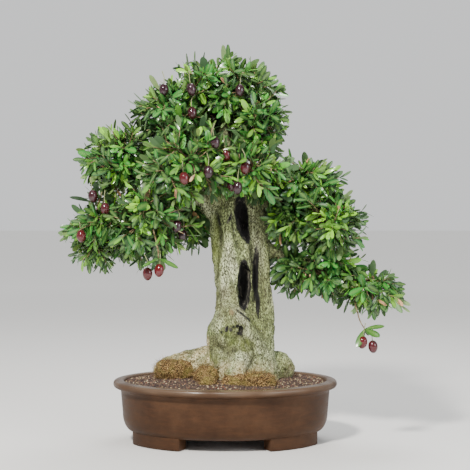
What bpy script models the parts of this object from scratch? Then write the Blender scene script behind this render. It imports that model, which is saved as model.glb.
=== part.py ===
"""An old olive tree trained as a bonsai, in an oval stoneware pot on four feet.

The pot holds soil, and the trunk stands in it on a spread of roots, with clods of brown
root fibre packed round them. The trunk is hollow in two places and carries the limbs. Each
limb ends in a pad of foliage: a dense heart of twigs with leafy shoots standing out of it.
Olives hang from stalks on the pads. Lengths are in metres, +Z is up and -Y is the front.
The places of the tree are given from the middle of the pot, at the foot of its feet.
"""

import itertools
import math
import random

import bmesh
import bpy
from mathutils import Matrix, Vector, noise
from mathutils.bvhtree import BVHTree

# Where the middle of the pot stands, seen from the middle of the whole tree's plan
POT_PLACE = (-0.019, -0.010, 0.0)
# Gap between pieces that rest on or in each other
SEAT_GAP = 0.0004
SEED = 7

# Pot
POT_LENGTH = 0.400
POT_DEPTH = 0.300
POT_HEIGHT = 0.110
POT_SIDES = 32
FOOT_HEIGHT = 0.020
FOOT_INSET = 0.027
FOOT_THICKNESS = 0.026
FOOT_FROM, FOOT_TO, FOOT_STEPS = 19.0, 63.0, 5
# How far up the feet reach into the floor of the pot
FOOT_ROOT = 0.026
FLOOR_TOP = 0.030
UNDERSIDE_INSET = 0.033
WALL_INSET, WALL_FOOT, WALL_TOP = 0.0165, 0.052, 0.088
NECK_INSET = 0.0135
LIP_UNDER, LIP_NOSE_RADIUS = 0.0970, 0.006
LIP_REACH = 0.0045
MOUTH_INSET, MOUTH_ROUND = 0.0155, 0.004
INSIDE_INSET, INSIDE_FOOT = 0.0265, 0.060
FLOOR_INSET = 0.050
DRAIN_RADIUS, DRAIN_OUT, DRAIN_SEGMENTS = 0.012, 0.075, 20
POT_CREASE = 40

# Soil and the mesh screens that keep it off the drain holes
SOIL_EDGE, SOIL_MOUND, SOIL_ROUGH = 0.1030, 0.010, 0.0015
SOIL_GRAIN = 0.018
# The soil's wall stops this far under its edge, and its top is drawn by rings of these shares
SOIL_WALL_DROP = 0.004
SOIL_RINGS = (1.0, 0.80, 0.55, 0.30)
SCREEN_SIDE, SCREEN_THICK = 0.036, 0.0012
SCREEN_CELLS = 3
SCREEN_BAR = 0.0025
SCREEN_BED = 0.002

# Wood: each strand is a run of (x, y, z, radius)
STRANDS = {
    "stem": [
        (0.018, 0.004, 0.080, 0.050), (0.018, 0.002, 0.112, 0.056), (0.014, 0.000, 0.150, 0.049),
        (0.014, 0.002, 0.195, 0.039), (0.018, 0.002, 0.240, 0.034), (0.017, 0.000, 0.290, 0.036),
        (0.013, 0.000, 0.345, 0.039), (0.009, 0.002, 0.390, 0.038), (0.004, 0.004, 0.425, 0.036),
    ],
    "stem_right": [
        (0.058, -0.004, 0.085, 0.042), (0.060, -0.006, 0.125, 0.036), (0.064, -0.006, 0.170, 0.026),
        (0.068, -0.004, 0.220, 0.019), (0.066, -0.002, 0.270, 0.0155), (0.065, 0.002, 0.320, 0.0155),
        (0.065, 0.006, 0.355, 0.017), (0.058, 0.008, 0.395, 0.016), (0.046, 0.010, 0.430, 0.016),
    ],
    "stem_back": [
        (0.040, 0.030, 0.085, 0.042), (0.042, 0.030, 0.150, 0.036), (0.044, 0.026, 0.230, 0.031),
        (0.042, 0.024, 0.310, 0.031), (0.036, 0.024, 0.380, 0.030), (0.024, 0.022, 0.430, 0.028),
    ],
    "burl": [(-0.006, -0.016, 0.172, 0.026), (-0.001, -0.022, 0.198, 0.031), (0.008, -0.018, 0.226, 0.022)],
    "fold": [
        (0.000, -0.026, 0.246, 0.010), (0.016, -0.036, 0.232, 0.013), (0.036, -0.040, 0.208, 0.016),
        (0.052, -0.036, 0.180, 0.018), (0.062, -0.026, 0.145, 0.024), (0.066, -0.020, 0.110, 0.030),
    ],
    "root_left": [
        (0.000, 0.012, 0.120, 0.046), (-0.034, 0.022, 0.130, 0.036), (-0.068, 0.032, 0.132, 0.026),
        (-0.100, 0.040, 0.126, 0.021), (-0.118, 0.044, 0.118, 0.018),
    ],
    "root_knob": [(-0.012, -0.030, 0.168, 0.010), (-0.015, -0.038, 0.154, 0.0105), (-0.012, -0.040, 0.140, 0.010)],
    "root_front": [(0.016, -0.020, 0.140, 0.030), (0.018, -0.040, 0.116, 0.026), (0.020, -0.048, 0.098, 0.020)],
    "root_right": [(0.080, 0.012, 0.126, 0.030), (0.098, 0.020, 0.134, 0.025), (0.106, 0.024, 0.118, 0.022)],
    "root_back": [(0.040, 0.040, 0.120, 0.036), (0.034, 0.066, 0.106, 0.026), (0.026, 0.088, 0.092, 0.018)],
}
# Limbs: each ends inside the pad that it carries
LIMBS = {
    "crown": [
        (0.006, 0.006, 0.410, 0.032), (0.002, 0.010, 0.460, 0.026), (-0.002, 0.004, 0.515, 0.020),
        (0.004, 0.000, 0.565, 0.014), (0.006, 0.000, 0.620, 0.009),
    ],
    "crown_left": [
        (0.000, 0.006, 0.490, 0.018), (-0.030, -0.008, 0.530, 0.013), (-0.060, -0.020, 0.565, 0.009),
        (-0.078, -0.024, 0.585, 0.007),
    ],
    "crown_right": [
        (0.000, 0.002, 0.500, 0.015), (0.026, -0.010, 0.536, 0.010), (0.048, -0.018, 0.562, 0.007),
    ],
    "crown_back": [
        (0.000, 0.010, 0.470, 0.018), (-0.004, 0.045, 0.520, 0.012), (-0.010, 0.080, 0.556, 0.008),
    ],
    "shoulder_left": [
        (-0.004, 0.004, 0.405, 0.026), (-0.044, 0.000, 0.436, 0.021), (-0.090, 0.002, 0.462, 0.016),
        (-0.136, 0.008, 0.486, 0.012), (-0.175, 0.010, 0.502, 0.008),
    ],
    "shoulder_front": [
        (-0.004, -0.006, 0.425, 0.020), (-0.026, -0.040, 0.458, 0.013), (-0.050, -0.072, 0.484, 0.008),
    ],
    "shoulder_back": [
        (0.000, 0.016, 0.420, 0.020), (-0.040, 0.060, 0.448, 0.014), (-0.084, 0.096, 0.468, 0.008),
    ],
    "low_left_tip": [
        (-0.040, 0.000, 0.434, 0.017), (-0.090, -0.006, 0.420, 0.014), (-0.150, -0.014, 0.404, 0.011),
        (-0.205, -0.016, 0.394, 0.008),
    ],
    "low_left_front": [
        (-0.070, -0.004, 0.424, 0.012), (-0.100, -0.030, 0.412, 0.009), (-0.124, -0.054, 0.400, 0.007),
    ],
    "low_left_back": [
        (-0.060, -0.002, 0.426, 0.013), (-0.096, 0.040, 0.410, 0.010), (-0.132, 0.080, 0.390, 0.007),
    ],
    "centre_right": [
        (0.018, 0.000, 0.430, 0.018), (0.036, -0.030, 0.456, 0.012), (0.048, -0.056, 0.478, 0.007),
    ],
    "right_top": [
        (0.036, 0.012, 0.415, 0.022), (0.076, 0.014, 0.434, 0.016), (0.110, 0.008, 0.450, 0.011),
        (0.138, 0.002, 0.462, 0.008),
    ],
    "right_mid": [
        (0.078, 0.014, 0.434, 0.014), (0.120, -0.006, 0.420, 0.011), (0.158, -0.024, 0.408, 0.009),
        (0.182, -0.032, 0.398, 0.007),
    ],
    "right_back": [
        (0.050, 0.020, 0.400, 0.018), (0.090, 0.056, 0.408, 0.013), (0.140, 0.086, 0.412, 0.008),
    ],
    "right_low": [
        (0.052, 0.006, 0.338, 0.018), (0.086, 0.010, 0.336, 0.014), (0.124, 0.012, 0.326, 0.011),
        (0.164, 0.006, 0.312, 0.009),
    ],
    "right_tip": [
        (0.160, 0.006, 0.314, 0.0085), (0.206, -0.002, 0.300, 0.0075), (0.254, -0.008, 0.282, 0.006),
    ],
}
WOOD_SIDES, WOOD_SPACING = 14, 0.016
WOOD_VOXEL = 0.0026
WOOD_SMOOTH, HOLLOW_SMOOTH = 5, 2
WOOD_TRIANGLES = 2800
# The roots are cut flat in the soil, as when an old tree is fitted to a shallow pot
ROOT_CUT = 0.088
ROOT_REACH = 0.3
# Ridges of live wood that run up the trunk
FLUTES, FLUTE_DEPTH, FLUTE_TWIST = 9, 0.0022, 9.0
FLUTE_LOW, FLUTE_HIGH = 0.125, 0.430
FLUTE_AXIS, FLUTE_REACH = (0.030, 0.008, 0.0), 0.075
FLUTE_WANDER, FLUTE_WANDER_SIZE = 1.6, 0.055

# Hollows: (middle, half sizes, lean of the long way about Y in degrees)
HOLLOWS = [
    ((0.034, -0.030, 0.284), (0.0100, 0.034, 0.039), 0.0),
    ((0.030, -0.030, 0.404), (0.0115, 0.034, 0.036), -6.0),
    ((0.037, -0.036, 0.372), (0.0085, 0.026, 0.020), -18.0),
    ((0.0535, -0.026, 0.300), (0.0032, 0.022, 0.050), 1.0),
    ((0.0565, -0.026, 0.252), (0.0034, 0.020, 0.030), -3.0),
    ((0.027, -0.054, 0.202), (0.0042, 0.014, 0.0085), 8.0),
    ((0.015, -0.054, 0.208), (0.0036, 0.010, 0.0060), -10.0),
    ((0.003, -0.054, 0.204), (0.0034, 0.008, 0.0050), 0.0),
    ((-0.012, -0.036, 0.395), (0.0024, 0.012, 0.013), -8.0),
    ((0.008, -0.040, 0.398), (0.0020, 0.010, 0.010), 25.0),
    ((0.032, -0.052, 0.229), (0.0018, 0.016, 0.018), -52.0),
]
HOLLOW_SEGMENTS, HOLLOW_RINGS = 12, 8

# Clods of brown root fibre: (middle, half sizes)
CLODS = {
    "root_clod_left": ((-0.088, 0.014, 0.122), (0.040, 0.026, 0.021)),
    "root_clod_middle": ((-0.024, -0.026, 0.119), (0.031, 0.022, 0.018)),
    "root_clod_right": ((0.058, -0.062, 0.113), (0.031, 0.025, 0.017)),
}
# Lumps in shares of the clod's half size, and how square its shoulders are
CLOD_LUMP, CLOD_LUMP_SIZE, CLOD_SQUARE = 0.12, 0.73, 0.45
CLOD_FACES_KEPT = 0.25
# How much further than the gap a seat is cut, for the flat faces round a curve
SEAT_SWELL = 1.3

# Foliage pads: (middle, half sizes)
PADS = {
    "crown_top": ((0.006, -0.002, 0.632), (0.092, 0.088, 0.074)),
    "crown_left": ((-0.086, -0.026, 0.592), (0.078, 0.082, 0.076)),
    "crown_right": ((0.060, -0.022, 0.572), (0.058, 0.078, 0.068)),
    "crown_back": ((-0.014, 0.096, 0.568), (0.106, 0.074, 0.086)),
    "shoulder_left": ((-0.184, 0.012, 0.508), (0.084, 0.086, 0.072)),
    "shoulder_front": ((-0.062, -0.088, 0.496), (0.092, 0.068, 0.078)),
    "shoulder_back": ((-0.096, 0.112, 0.476), (0.100, 0.070, 0.082)),
    "low_left_tip": ((-0.216, -0.018, 0.386), (0.078, 0.084, 0.078)),
    "low_left_front": ((-0.134, -0.064, 0.396), (0.076, 0.074, 0.078)),
    "low_left_back": ((-0.140, 0.092, 0.386), (0.080, 0.070, 0.064)),
    "centre_right": ((0.044, -0.068, 0.486), (0.070, 0.062, 0.058)),
    "right_top": ((0.142, 0.000, 0.464), (0.070, 0.086, 0.060)),
    "right_mid": ((0.190, -0.040, 0.394), (0.070, 0.076, 0.068)),
    "right_back": ((0.152, 0.096, 0.408), (0.086, 0.070, 0.074)),
    "right_low": ((0.172, 0.006, 0.306), (0.076, 0.082, 0.056)),
    "right_tip": ((0.262, -0.012, 0.276), (0.062, 0.070, 0.048)),
}
CELL_GAP = 0.0010
HEART_SHARE, HEART_LUMP, HEART_LUMP_SIZE = 0.58, 0.15, 0.035
# Shoots on a square metre of the box round the pad, by half its faces
SHOOTS_PER_AREA = 140
SHOOT_LEAVES = 3
SHOOT_OPENING, OPENING_SPREAD = 38.0, 8.0
SHOOT_LIFT, SHOOT_OUTWARD = 0.30, 0.5
LEAF_LENGTH, LEAF_WIDTH, LEAF_THICK = 0.034, 0.0125, 0.0013
LEAF_SPREAD = 0.15
LEAF_SUNK = 0.0045
LEAF_CURL, LEAF_FOLD = 0.16, 0.10
# Where the leaf is widest along its length, and how far its rib has curled there
LEAF_WIDEST, LEAF_RIB_CURL = 0.55, 0.05

# Olives. Those in front are placed by where they show against the tree's middle plane, as
# (x, z), seen from the viewpoint; those behind by where they show from straight behind.
VIEWPOINT = (0.0175, -2.300, 0.437)
OLIVE_LENGTH, OLIVE_WIDTH, OLIVE_SHOULDER = 0.0225, 0.0172, 0.12
OLIVE_LEAN = 12
OLIVE_SEGMENTS, OLIVE_RINGS = 8, 4
STALK_WIDTH, STALK_SUNK, STALK_ARCH = 0.0015, 0.005, 0.004
STALK_SIDES, TWIG_SIDES = 4, 5
# Arches and reaches that a stalk tries in turn, in shares of the arch and of the olive's width
STALK_ARCHES, STALK_REACHES = (1, 2, 3), (0.3, 0.6, 1.0)
OLIVES_IN_FRONT = [
    (-0.059, 0.585), (-0.022, 0.577), (-0.109, 0.626), (-0.060, 0.627), (-0.018, 0.533),
    (0.002, 0.512), (0.036, 0.487), (-0.073, 0.469), (0.012, 0.457), (0.022, 0.452),
    (-0.086, 0.383), (-0.077, 0.367), (-0.257, 0.366), (-0.214, 0.414), (-0.236, 0.437),
    (0.026, 0.625), (-0.030, 0.480),
]
OLIVES_BEHIND = [(-0.070, 0.560), (0.040, 0.530), (-0.150, 0.450), (0.180, 0.400)]
OLIVE_SHARE, OLIVE_DROPS, OLIVE_STEP = 0.88, 6, 0.004
# Sprays that hang below the pads: pad, the twig's run, and the olives at its end as (x, y, z)
HANGING = {
    "right_tip": (
        [(0.222, -0.030, 0.262), (0.226, -0.052, 0.240), (0.232, -0.062, 0.222), (0.243, -0.066, 0.206)],
        [(0.2385, -0.074, 0.184), (0.2570, -0.070, 0.176)],
    ),
    "low_left_front": (
        [(-0.118, -0.104, 0.372), (-0.112, -0.122, 0.350), (-0.112, -0.126, 0.332)],
        [(-0.1300, -0.130, 0.306), (-0.1105, -0.130, 0.312)],
    ),
}
HANGING_WIDTH, HANGING_STEP = 0.0024, 0.014
HANGING_LEAVES, HANGING_OPENING = 5, 62.0

MATERIALS = {
    # name: (colour, roughness)
    "stoneware": ((0.140, 0.072, 0.038), 0.42),
    "soil": ((0.130, 0.090, 0.062), 0.95),
    "bark": ((0.300, 0.310, 0.200), 0.90),
    "root_fibre": ((0.260, 0.165, 0.070), 1.00),
    "leaf": ((0.060, 0.150, 0.035), 0.45),
    "olive_skin": ((0.160, 0.010, 0.018), 0.22),
    "screen_plastic": ((0.020, 0.022, 0.022), 0.60),
}


def clear_scene():
    for obj in list(bpy.data.objects):
        bpy.data.objects.remove(obj)


def material(name):
    """The named material, made once."""
    made = bpy.data.materials.get(name)
    if made:
        return made
    colour, roughness = MATERIALS[name]
    made = bpy.data.materials.new(name)
    made.use_nodes = True
    shader = made.node_tree.nodes["Principled BSDF"]
    shader.inputs["Base Color"].default_value = (*colour, 1.0)
    shader.inputs["Roughness"].default_value = roughness
    made.diffuse_color = (*colour, 1.0)
    return made


def add_object(name, mesh, finish=None, smooth=True):
    """An object in the scene with that mesh and material."""
    obj = bpy.data.objects.new(name, mesh)
    bpy.context.scene.collection.objects.link(obj)
    if finish:
        mesh.materials.clear()
        mesh.materials.append(material(finish))
    if smooth:
        mesh.shade_smooth()
    return obj


def mesh_from(bm, name):
    """Turns a bmesh into a mesh with its faces pointing out, and frees it."""
    bmesh.ops.recalc_face_normals(bm, faces=bm.faces)
    mesh = bpy.data.meshes.new(name)
    bm.to_mesh(mesh)
    bm.free()
    return mesh


def evaluated_mesh(obj):
    """The object's mesh with its modifiers applied."""
    bpy.context.view_layer.update()
    graph = bpy.context.evaluated_depsgraph_get()
    return bpy.data.meshes.new_from_object(obj.evaluated_get(graph))


def apply_modifiers(obj):
    obj.data = evaluated_mesh(obj)
    obj.modifiers.clear()


def boolean(obj, other, operation, solver="EXACT"):
    """Joins or cuts obj with another object, or with every object of a collection, and applies it."""
    step = obj.modifiers.new(operation.title(), "BOOLEAN")
    step.operation = operation
    step.solver = solver
    if isinstance(other, bpy.types.Collection):
        step.operand_type = "COLLECTION"
        step.collection = other
    else:
        step.object = other
    apply_modifiers(obj)


def remove(*objects):
    for obj in objects:
        bpy.data.objects.remove(obj)


def keep_largest_body(mesh):
    """Drops the loose scraps that a cut leaves."""
    bm = bmesh.new()
    bm.from_mesh(mesh)
    unseen = set(bm.verts)
    bodies = []
    while unseen:
        start = unseen.pop()
        body, edge_of_search = {start}, [start]
        while edge_of_search:
            for edge in edge_of_search.pop().link_edges:
                for vert in edge.verts:
                    if vert in unseen:
                        unseen.discard(vert)
                        body.add(vert)
                        edge_of_search.append(vert)
        bodies.append(body)
    bodies.sort(key=len)
    for body in bodies[:-1]:
        bmesh.ops.delete(bm, geom=list(body), context="VERTS")
    bm.to_mesh(mesh)
    bm.free()


def arc(middle, radii, start, end, steps):
    """Points of an elliptic arc in the plane of a pot's profile, by angle in degrees."""
    points = []
    for i in range(steps + 1):
        angle = math.radians(start + (end - start) * i / steps)
        points.append((middle[0] - radii[0] * math.cos(angle), middle[1] + radii[1] * math.sin(angle)))
    return points


def oval(inset, z, sides=POT_SIDES):
    """A ring of the pot's oval, inset from the lip's edge."""
    half_length, half_depth = POT_LENGTH / 2 - inset, POT_DEPTH / 2 - inset
    ring = []
    for i in range(sides):
        angle = math.tau * i / sides
        ring.append(Vector((half_length * math.cos(angle), half_depth * math.sin(angle), z)))
    return ring


def loft(bm, rings):
    """Closes a run of rings into one solid, with a flat face at each end."""
    rows = [[bm.verts.new(point) for point in ring] for ring in rings]
    for low, high in zip(rows, rows[1:]):
        for i in range(len(low)):
            j = (i + 1) % len(low)
            bm.faces.new((low[i], low[j], high[j], high[i]))
    bm.faces.new(rows[0])
    bm.faces.new(rows[-1])


def pot_outside():
    belly = arc((UNDERSIDE_INSET, WALL_FOOT), (UNDERSIDE_INSET - WALL_INSET, WALL_FOOT - FOOT_HEIGHT), -90, 0, 3)
    cove = arc((LIP_REACH, WALL_TOP), (LIP_REACH - NECK_INSET, LIP_UNDER - WALL_TOP), 0, 90, 2)
    nose = arc((LIP_REACH, LIP_UNDER + LIP_NOSE_RADIUS), (LIP_REACH, LIP_NOSE_RADIUS), -90, 90, 4)
    return belly + cove + nose[1:]


def pot_inside():
    mouth_middle = (MOUTH_INSET, POT_HEIGHT - MOUTH_ROUND)
    mouth = arc(mouth_middle, (-MOUTH_ROUND, MOUTH_ROUND), 90, 0, 2)
    well = arc((FLOOR_INSET, INSIDE_FOOT), (FLOOR_INSET - INSIDE_INSET, INSIDE_FOOT - FLOOR_TOP), 0, -90, 2)
    return mouth + well


def foot(start, end):
    """One foot: a length of the oval between two angles, sunk into the floor of the pot."""
    outer = (POT_LENGTH / 2 - FOOT_INSET, POT_DEPTH / 2 - FOOT_INSET)
    inner = (outer[0] - FOOT_THICKNESS, outer[1] - FOOT_THICKNESS)
    bm = bmesh.new()
    sections = []
    for i in range(FOOT_STEPS + 1):
        angle = math.radians(start + (end - start) * i / FOOT_STEPS)
        corners = []
        for half, z in ((outer, 0.0), (outer, FOOT_ROOT), (inner, FOOT_ROOT), (inner, 0.0)):
            corners.append(Vector((half[0] * math.cos(angle), half[1] * math.sin(angle), z)))
        sections.append(corners)
    loft(bm, sections)
    return add_object("foot", mesh_from(bm, "foot"))


def drain_cutter(x):
    """A cylinder through the pot's floor."""
    bm = bmesh.new()
    bmesh.ops.create_cone(
        bm, cap_ends=True, segments=DRAIN_SEGMENTS, radius1=DRAIN_RADIUS, radius2=DRAIN_RADIUS,
        depth=2 * FLOOR_TOP, matrix=Matrix.Translation((x, 0.0, FLOOR_TOP / 2)),
    )
    return add_object("drain", mesh_from(bm, "drain"))


def box(name, low, high):
    bm = bmesh.new()
    low, high = Vector(low), Vector(high)
    size = Matrix.Diagonal((*(high - low), 1.0))
    bmesh.ops.create_cube(bm, size=1.0, matrix=Matrix.Translation((low + high) / 2) @ size)
    return add_object(name, mesh_from(bm, name))


def make_pot():
    bm = bmesh.new()
    loft(bm, [oval(inset, z) for inset, z in pot_outside() + pot_inside()])
    pot = add_object("pot", mesh_from(bm, "pot"), "stoneware")
    feet = []
    for quarter in ((FOOT_FROM, FOOT_TO), (180 - FOOT_TO, 180 - FOOT_FROM)):
        for side in (0, 180):
            feet.append(foot(quarter[0] + side, quarter[1] + side))
    for each in feet:
        boolean(pot, each, "UNION")
    drains = [drain_cutter(side * DRAIN_OUT) for side in (-1, 1)]
    for drain in drains:
        boolean(pot, drain, "DIFFERENCE")
    remove(*feet, *drains)
    pot.data.set_sharp_from_angle(angle=math.radians(POT_CREASE))
    return pot


def make_screens():
    """A plastic mesh square over each drain hole."""
    screens = []
    low_z = FLOOR_TOP + SEAT_GAP
    pitch = (SCREEN_SIDE - SCREEN_BAR) / SCREEN_CELLS
    for name, side in (("drain_screen_left", -1), ("drain_screen_right", 1)):
        left, front = side * DRAIN_OUT - SCREEN_SIDE / 2, -SCREEN_SIDE / 2
        bm = bmesh.new()
        lines = []
        for i in range(SCREEN_CELLS):
            lines += [i * pitch, i * pitch + SCREEN_BAR]
        lines += [SCREEN_SIDE - SCREEN_BAR, SCREEN_SIDE]
        grid = [[bm.verts.new((left + x, front + y, low_z)) for x in lines] for y in lines]
        for row in range(len(lines) - 1):
            for column in range(len(lines) - 1):
                if row % 2 and column % 2:
                    continue
                corners = (
                    grid[row][column], grid[row][column + 1], grid[row + 1][column + 1], grid[row + 1][column]
                )
                bm.faces.new(corners)
        raised = bmesh.ops.extrude_face_region(bm, geom=list(bm.faces), use_keep_orig=True)["geom"]
        up = [part for part in raised if isinstance(part, bmesh.types.BMVert)]
        bmesh.ops.translate(bm, verts=up, vec=(0, 0, SCREEN_THICK))
        screens.append(add_object(name, mesh_from(bm, name), "screen_plastic", smooth=False))
    return screens


def smooth_run(points, spacing):
    """A smooth run through (x, y, z, radius) points, by Catmull-Rom, about that far apart."""
    keys = [Vector(point) for point in points]
    keys = [2 * keys[0] - keys[1]] + keys + [2 * keys[-1] - keys[-2]]
    run = []
    for a, b, c, d in zip(keys, keys[1:], keys[2:], keys[3:]):
        steps = max(1, round((c.xyz - b.xyz).length / spacing))
        for i in range(steps):
            t = i / steps
            curve = b * 2 + (c - a) * t + (a * 2 - b * 5 + c * 4 - d) * t**2 + (b * 3 - a - c * 3 + d) * t**3
            run.append(curve / 2)
    run.append(keys[-2])
    return run


def tube(bm, run, sides, rounded=True):
    """A closed tube along a run of (x, y, z, radius), with rounded or flat ends."""
    if rounded:
        first, last = run[0], run[-1]
        back = (run[0].xyz - run[1].xyz).normalized()
        ahead = (run[-1].xyz - run[-2].xyz).normalized()
        run = [Vector((*(first.xyz + back * first.w * 0.6), first.w * 0.6))] + run
        run = run + [Vector((*(last.xyz + ahead * last.w * 0.6), last.w * 0.6))]
    side = Vector((0, 1, 0))
    rings = []
    for i, point in enumerate(run):
        ahead = (run[min(i + 1, len(run) - 1)].xyz - run[max(i - 1, 0)].xyz).normalized()
        side = (side - ahead * side.dot(ahead)).normalized()
        other = ahead.cross(side)
        ring = []
        for k in range(sides):
            angle = math.tau * k / sides
            ring.append(point.xyz + (side * math.cos(angle) + other * math.sin(angle)) * point.w)
        rings.append(ring)
    loft(bm, rings)


def hollow_cutter(middle, half, lean):
    bm = bmesh.new()
    place = Matrix.Translation(middle) @ Matrix.Rotation(math.radians(lean), 4, "Y") @ Matrix.Diagonal((*half, 1.0))
    bmesh.ops.create_uvsphere(bm, u_segments=HOLLOW_SEGMENTS, v_segments=HOLLOW_RINGS, radius=1.0, matrix=place)
    return add_object("hollow", mesh_from(bm, "hollow"))


def voxel_remesh(obj, size):
    step = obj.modifiers.new("Remesh", "REMESH")
    step.mode = "VOXEL"
    step.voxel_size = size
    apply_modifiers(obj)


def relax(obj, times):
    step = obj.modifiers.new("Smooth", "SMOOTH")
    step.factor = 0.5
    step.iterations = times
    apply_modifiers(obj)


def flute(mesh):
    """Raises ridges that wind up the trunk, fading at its foot and where the limbs leave."""
    axis = Vector(FLUTE_AXIS)
    normals = [vert.normal.copy() for vert in mesh.vertices]
    for vert, normal in zip(mesh.vertices, normals):
        height = (vert.co.z - FLUTE_LOW) / (FLUTE_HIGH - FLUTE_LOW)
        if not 0 < height < 1:
            continue
        flat = vert.co - axis
        if abs(flat.x) > FLUTE_REACH:
            continue
        angle = math.atan2(flat.y, flat.x)
        wander = noise.noise(vert.co / FLUTE_WANDER_SIZE) * FLUTE_WANDER
        fade = math.sin(math.pi * height) ** 0.5
        wave = math.sin(FLUTES * angle + FLUTE_TWIST * height + wander)
        vert.co += normal * (FLUTE_DEPTH * fade * wave)


def make_trunk():
    """Trunk, roots and limbs: one piece of wood, grown together, then hollowed."""
    bm = bmesh.new()
    for run in (*STRANDS.values(), *LIMBS.values()):
        tube(bm, smooth_run(run, WOOD_SPACING), WOOD_SIDES)
    trunk = add_object("trunk", mesh_from(bm, "trunk"), "bark")
    voxel_remesh(trunk, WOOD_VOXEL)
    relax(trunk, WOOD_SMOOTH)
    flute(trunk.data)
    for place in HOLLOWS:
        hollow = hollow_cutter(*place)
        boolean(trunk, hollow, "DIFFERENCE", "MANIFOLD")
        remove(hollow)
    voxel_remesh(trunk, WOOD_VOXEL)
    relax(trunk, HOLLOW_SMOOTH)
    below = box("below", (-ROOT_REACH, -ROOT_REACH, 0.0), (ROOT_REACH, ROOT_REACH, ROOT_CUT))
    boolean(trunk, below, "DIFFERENCE", "MANIFOLD")
    remove(below)
    trunk.data.calc_loop_triangles()
    step = trunk.modifiers.new("Decimate", "DECIMATE")
    step.ratio = WOOD_TRIANGLES / len(trunk.data.loop_triangles)
    step.use_collapse_triangulate = True
    apply_modifiers(trunk)
    keep_largest_body(trunk.data)
    trunk.data.materials.clear()
    trunk.data.materials.append(material("bark"))
    trunk.data.shade_smooth()
    return trunk


def clearance(obj):
    """A copy of a piece, swollen by the gap, to cut its seat in another."""
    mesh = obj.data.copy()
    normals = [vert.normal.copy() for vert in mesh.vertices]
    for vert, normal in zip(mesh.vertices, normals):
        vert.co += normal * SEAT_GAP * SEAT_SWELL
    return add_object("clearance", mesh)


def make_clods(trunk_clearance):
    clods = []
    for name, (middle, half) in CLODS.items():
        bm = bmesh.new()
        bmesh.ops.create_icosphere(bm, subdivisions=3, radius=1.0)
        for vert in bm.verts:
            lump = 1 + CLOD_LUMP * noise.noise((vert.co + Vector(middle) / half[0]) / CLOD_LUMP_SIZE)
            # A squarer form than an egg: the clod is a block of fibre with rounded shoulders
            square = max(abs(part) for part in vert.co) ** -CLOD_SQUARE
            vert.co = Vector(middle) + Vector(a * b for a, b in zip(vert.co * lump * square, half))
        clod = add_object(name, mesh_from(bm, name), "root_fibre")
        step = clod.modifiers.new("Decimate", "DECIMATE")
        step.ratio = CLOD_FACES_KEPT
        apply_modifiers(clod)
        boolean(clod, trunk_clearance, "DIFFERENCE")
        keep_largest_body(clod.data)
        clods.append(clod)
    return clods


def soil_height(x, y):
    """Height of the soil: mounded up to the roots, and grainy."""
    reach = (x / (POT_LENGTH / 2)) ** 2 + (y / (POT_DEPTH / 2)) ** 2
    grain = noise.noise(Vector((x, y, 0)) / SOIL_GRAIN)
    return SOIL_EDGE + SOIL_MOUND * max(0.0, 1 - reach) + SOIL_ROUGH * grain


def make_soil(cutters, screens):
    bm = bmesh.new()
    walls = [(inset + SEAT_GAP * 2, max(z, FLOOR_TOP + SEAT_GAP)) for inset, z in pot_inside()[:1:-1]]
    walls = [wall for wall in walls if wall[1] < SOIL_EDGE - SOIL_WALL_DROP]
    mouth = MOUTH_INSET + MOUTH_ROUND + SEAT_GAP * 3
    rings = [oval(inset, z) for inset, z in walls]
    for share in SOIL_RINGS:
        ring = [point * share for point in oval(mouth, 0.0)]
        rings.append([Vector((point.x, point.y, soil_height(point.x, point.y))) for point in ring])
    loft(bm, rings)
    bmesh.ops.triangulate(bm, faces=bm.faces)
    soil = add_object("soil", mesh_from(bm, "soil"), "soil")
    for cutter in cutters:
        boolean(soil, cutter, "DIFFERENCE")
    for screen in screens:
        middle = screen.name.endswith("right") * 2 - 1
        half = SCREEN_SIDE / 2 + SEAT_GAP
        recess = box(
            "recess",
            (middle * DRAIN_OUT - half, -half, FLOOR_TOP - SCREEN_BED),
            (middle * DRAIN_OUT + half, half, FLOOR_TOP + SCREEN_THICK + 2 * SEAT_GAP),
        )
        boolean(soil, recess, "DIFFERENCE")
        remove(recess)
    keep_largest_body(soil.data)
    return soil


def cell_walls(name):
    """The planes between a pad and its neighbours, as (normal, reach from the pad's middle)."""
    middle, half = Vector(PADS[name][0]), PADS[name][1]
    size = (half[0] * half[1] * half[2]) ** (1 / 3)
    walls = []
    for other, (other_middle, other_half) in PADS.items():
        if other == name:
            continue
        way = Vector(other_middle) - middle
        distance = way.length
        other_size = (other_half[0] * other_half[1] * other_half[2]) ** (1 / 3)
        share = 0.5 + (size**2 - other_size**2) / (2 * distance**2)
        walls.append((way / distance, share * distance - CELL_GAP / 2))
    return walls


def in_cell(points, middle, walls):
    return all((point - middle).dot(normal) <= reach for point in points for normal, reach in walls)


def pad_body(name, share):
    """A lumpy body inside the pad's cell, that share of the pad's size."""
    middle, half = Vector(PADS[name][0]), Vector(PADS[name][1])
    walls = cell_walls(name)
    bm = bmesh.new()
    bmesh.ops.create_icosphere(bm, subdivisions=2, radius=1.0)
    for vert in bm.verts:
        way = vert.co.normalized()
        reach = 1 / Vector((way.x / half.x, way.y / half.y, way.z / half.z)).length
        reach *= share + HEART_LUMP * noise.noise((middle + way * reach) / HEART_LUMP_SIZE)
        for normal, wall in walls:
            if way.dot(normal) > 0:
                reach = min(reach, wall / way.dot(normal))
        vert.co = middle + way * reach
    return mesh_from(bm, name)


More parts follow.
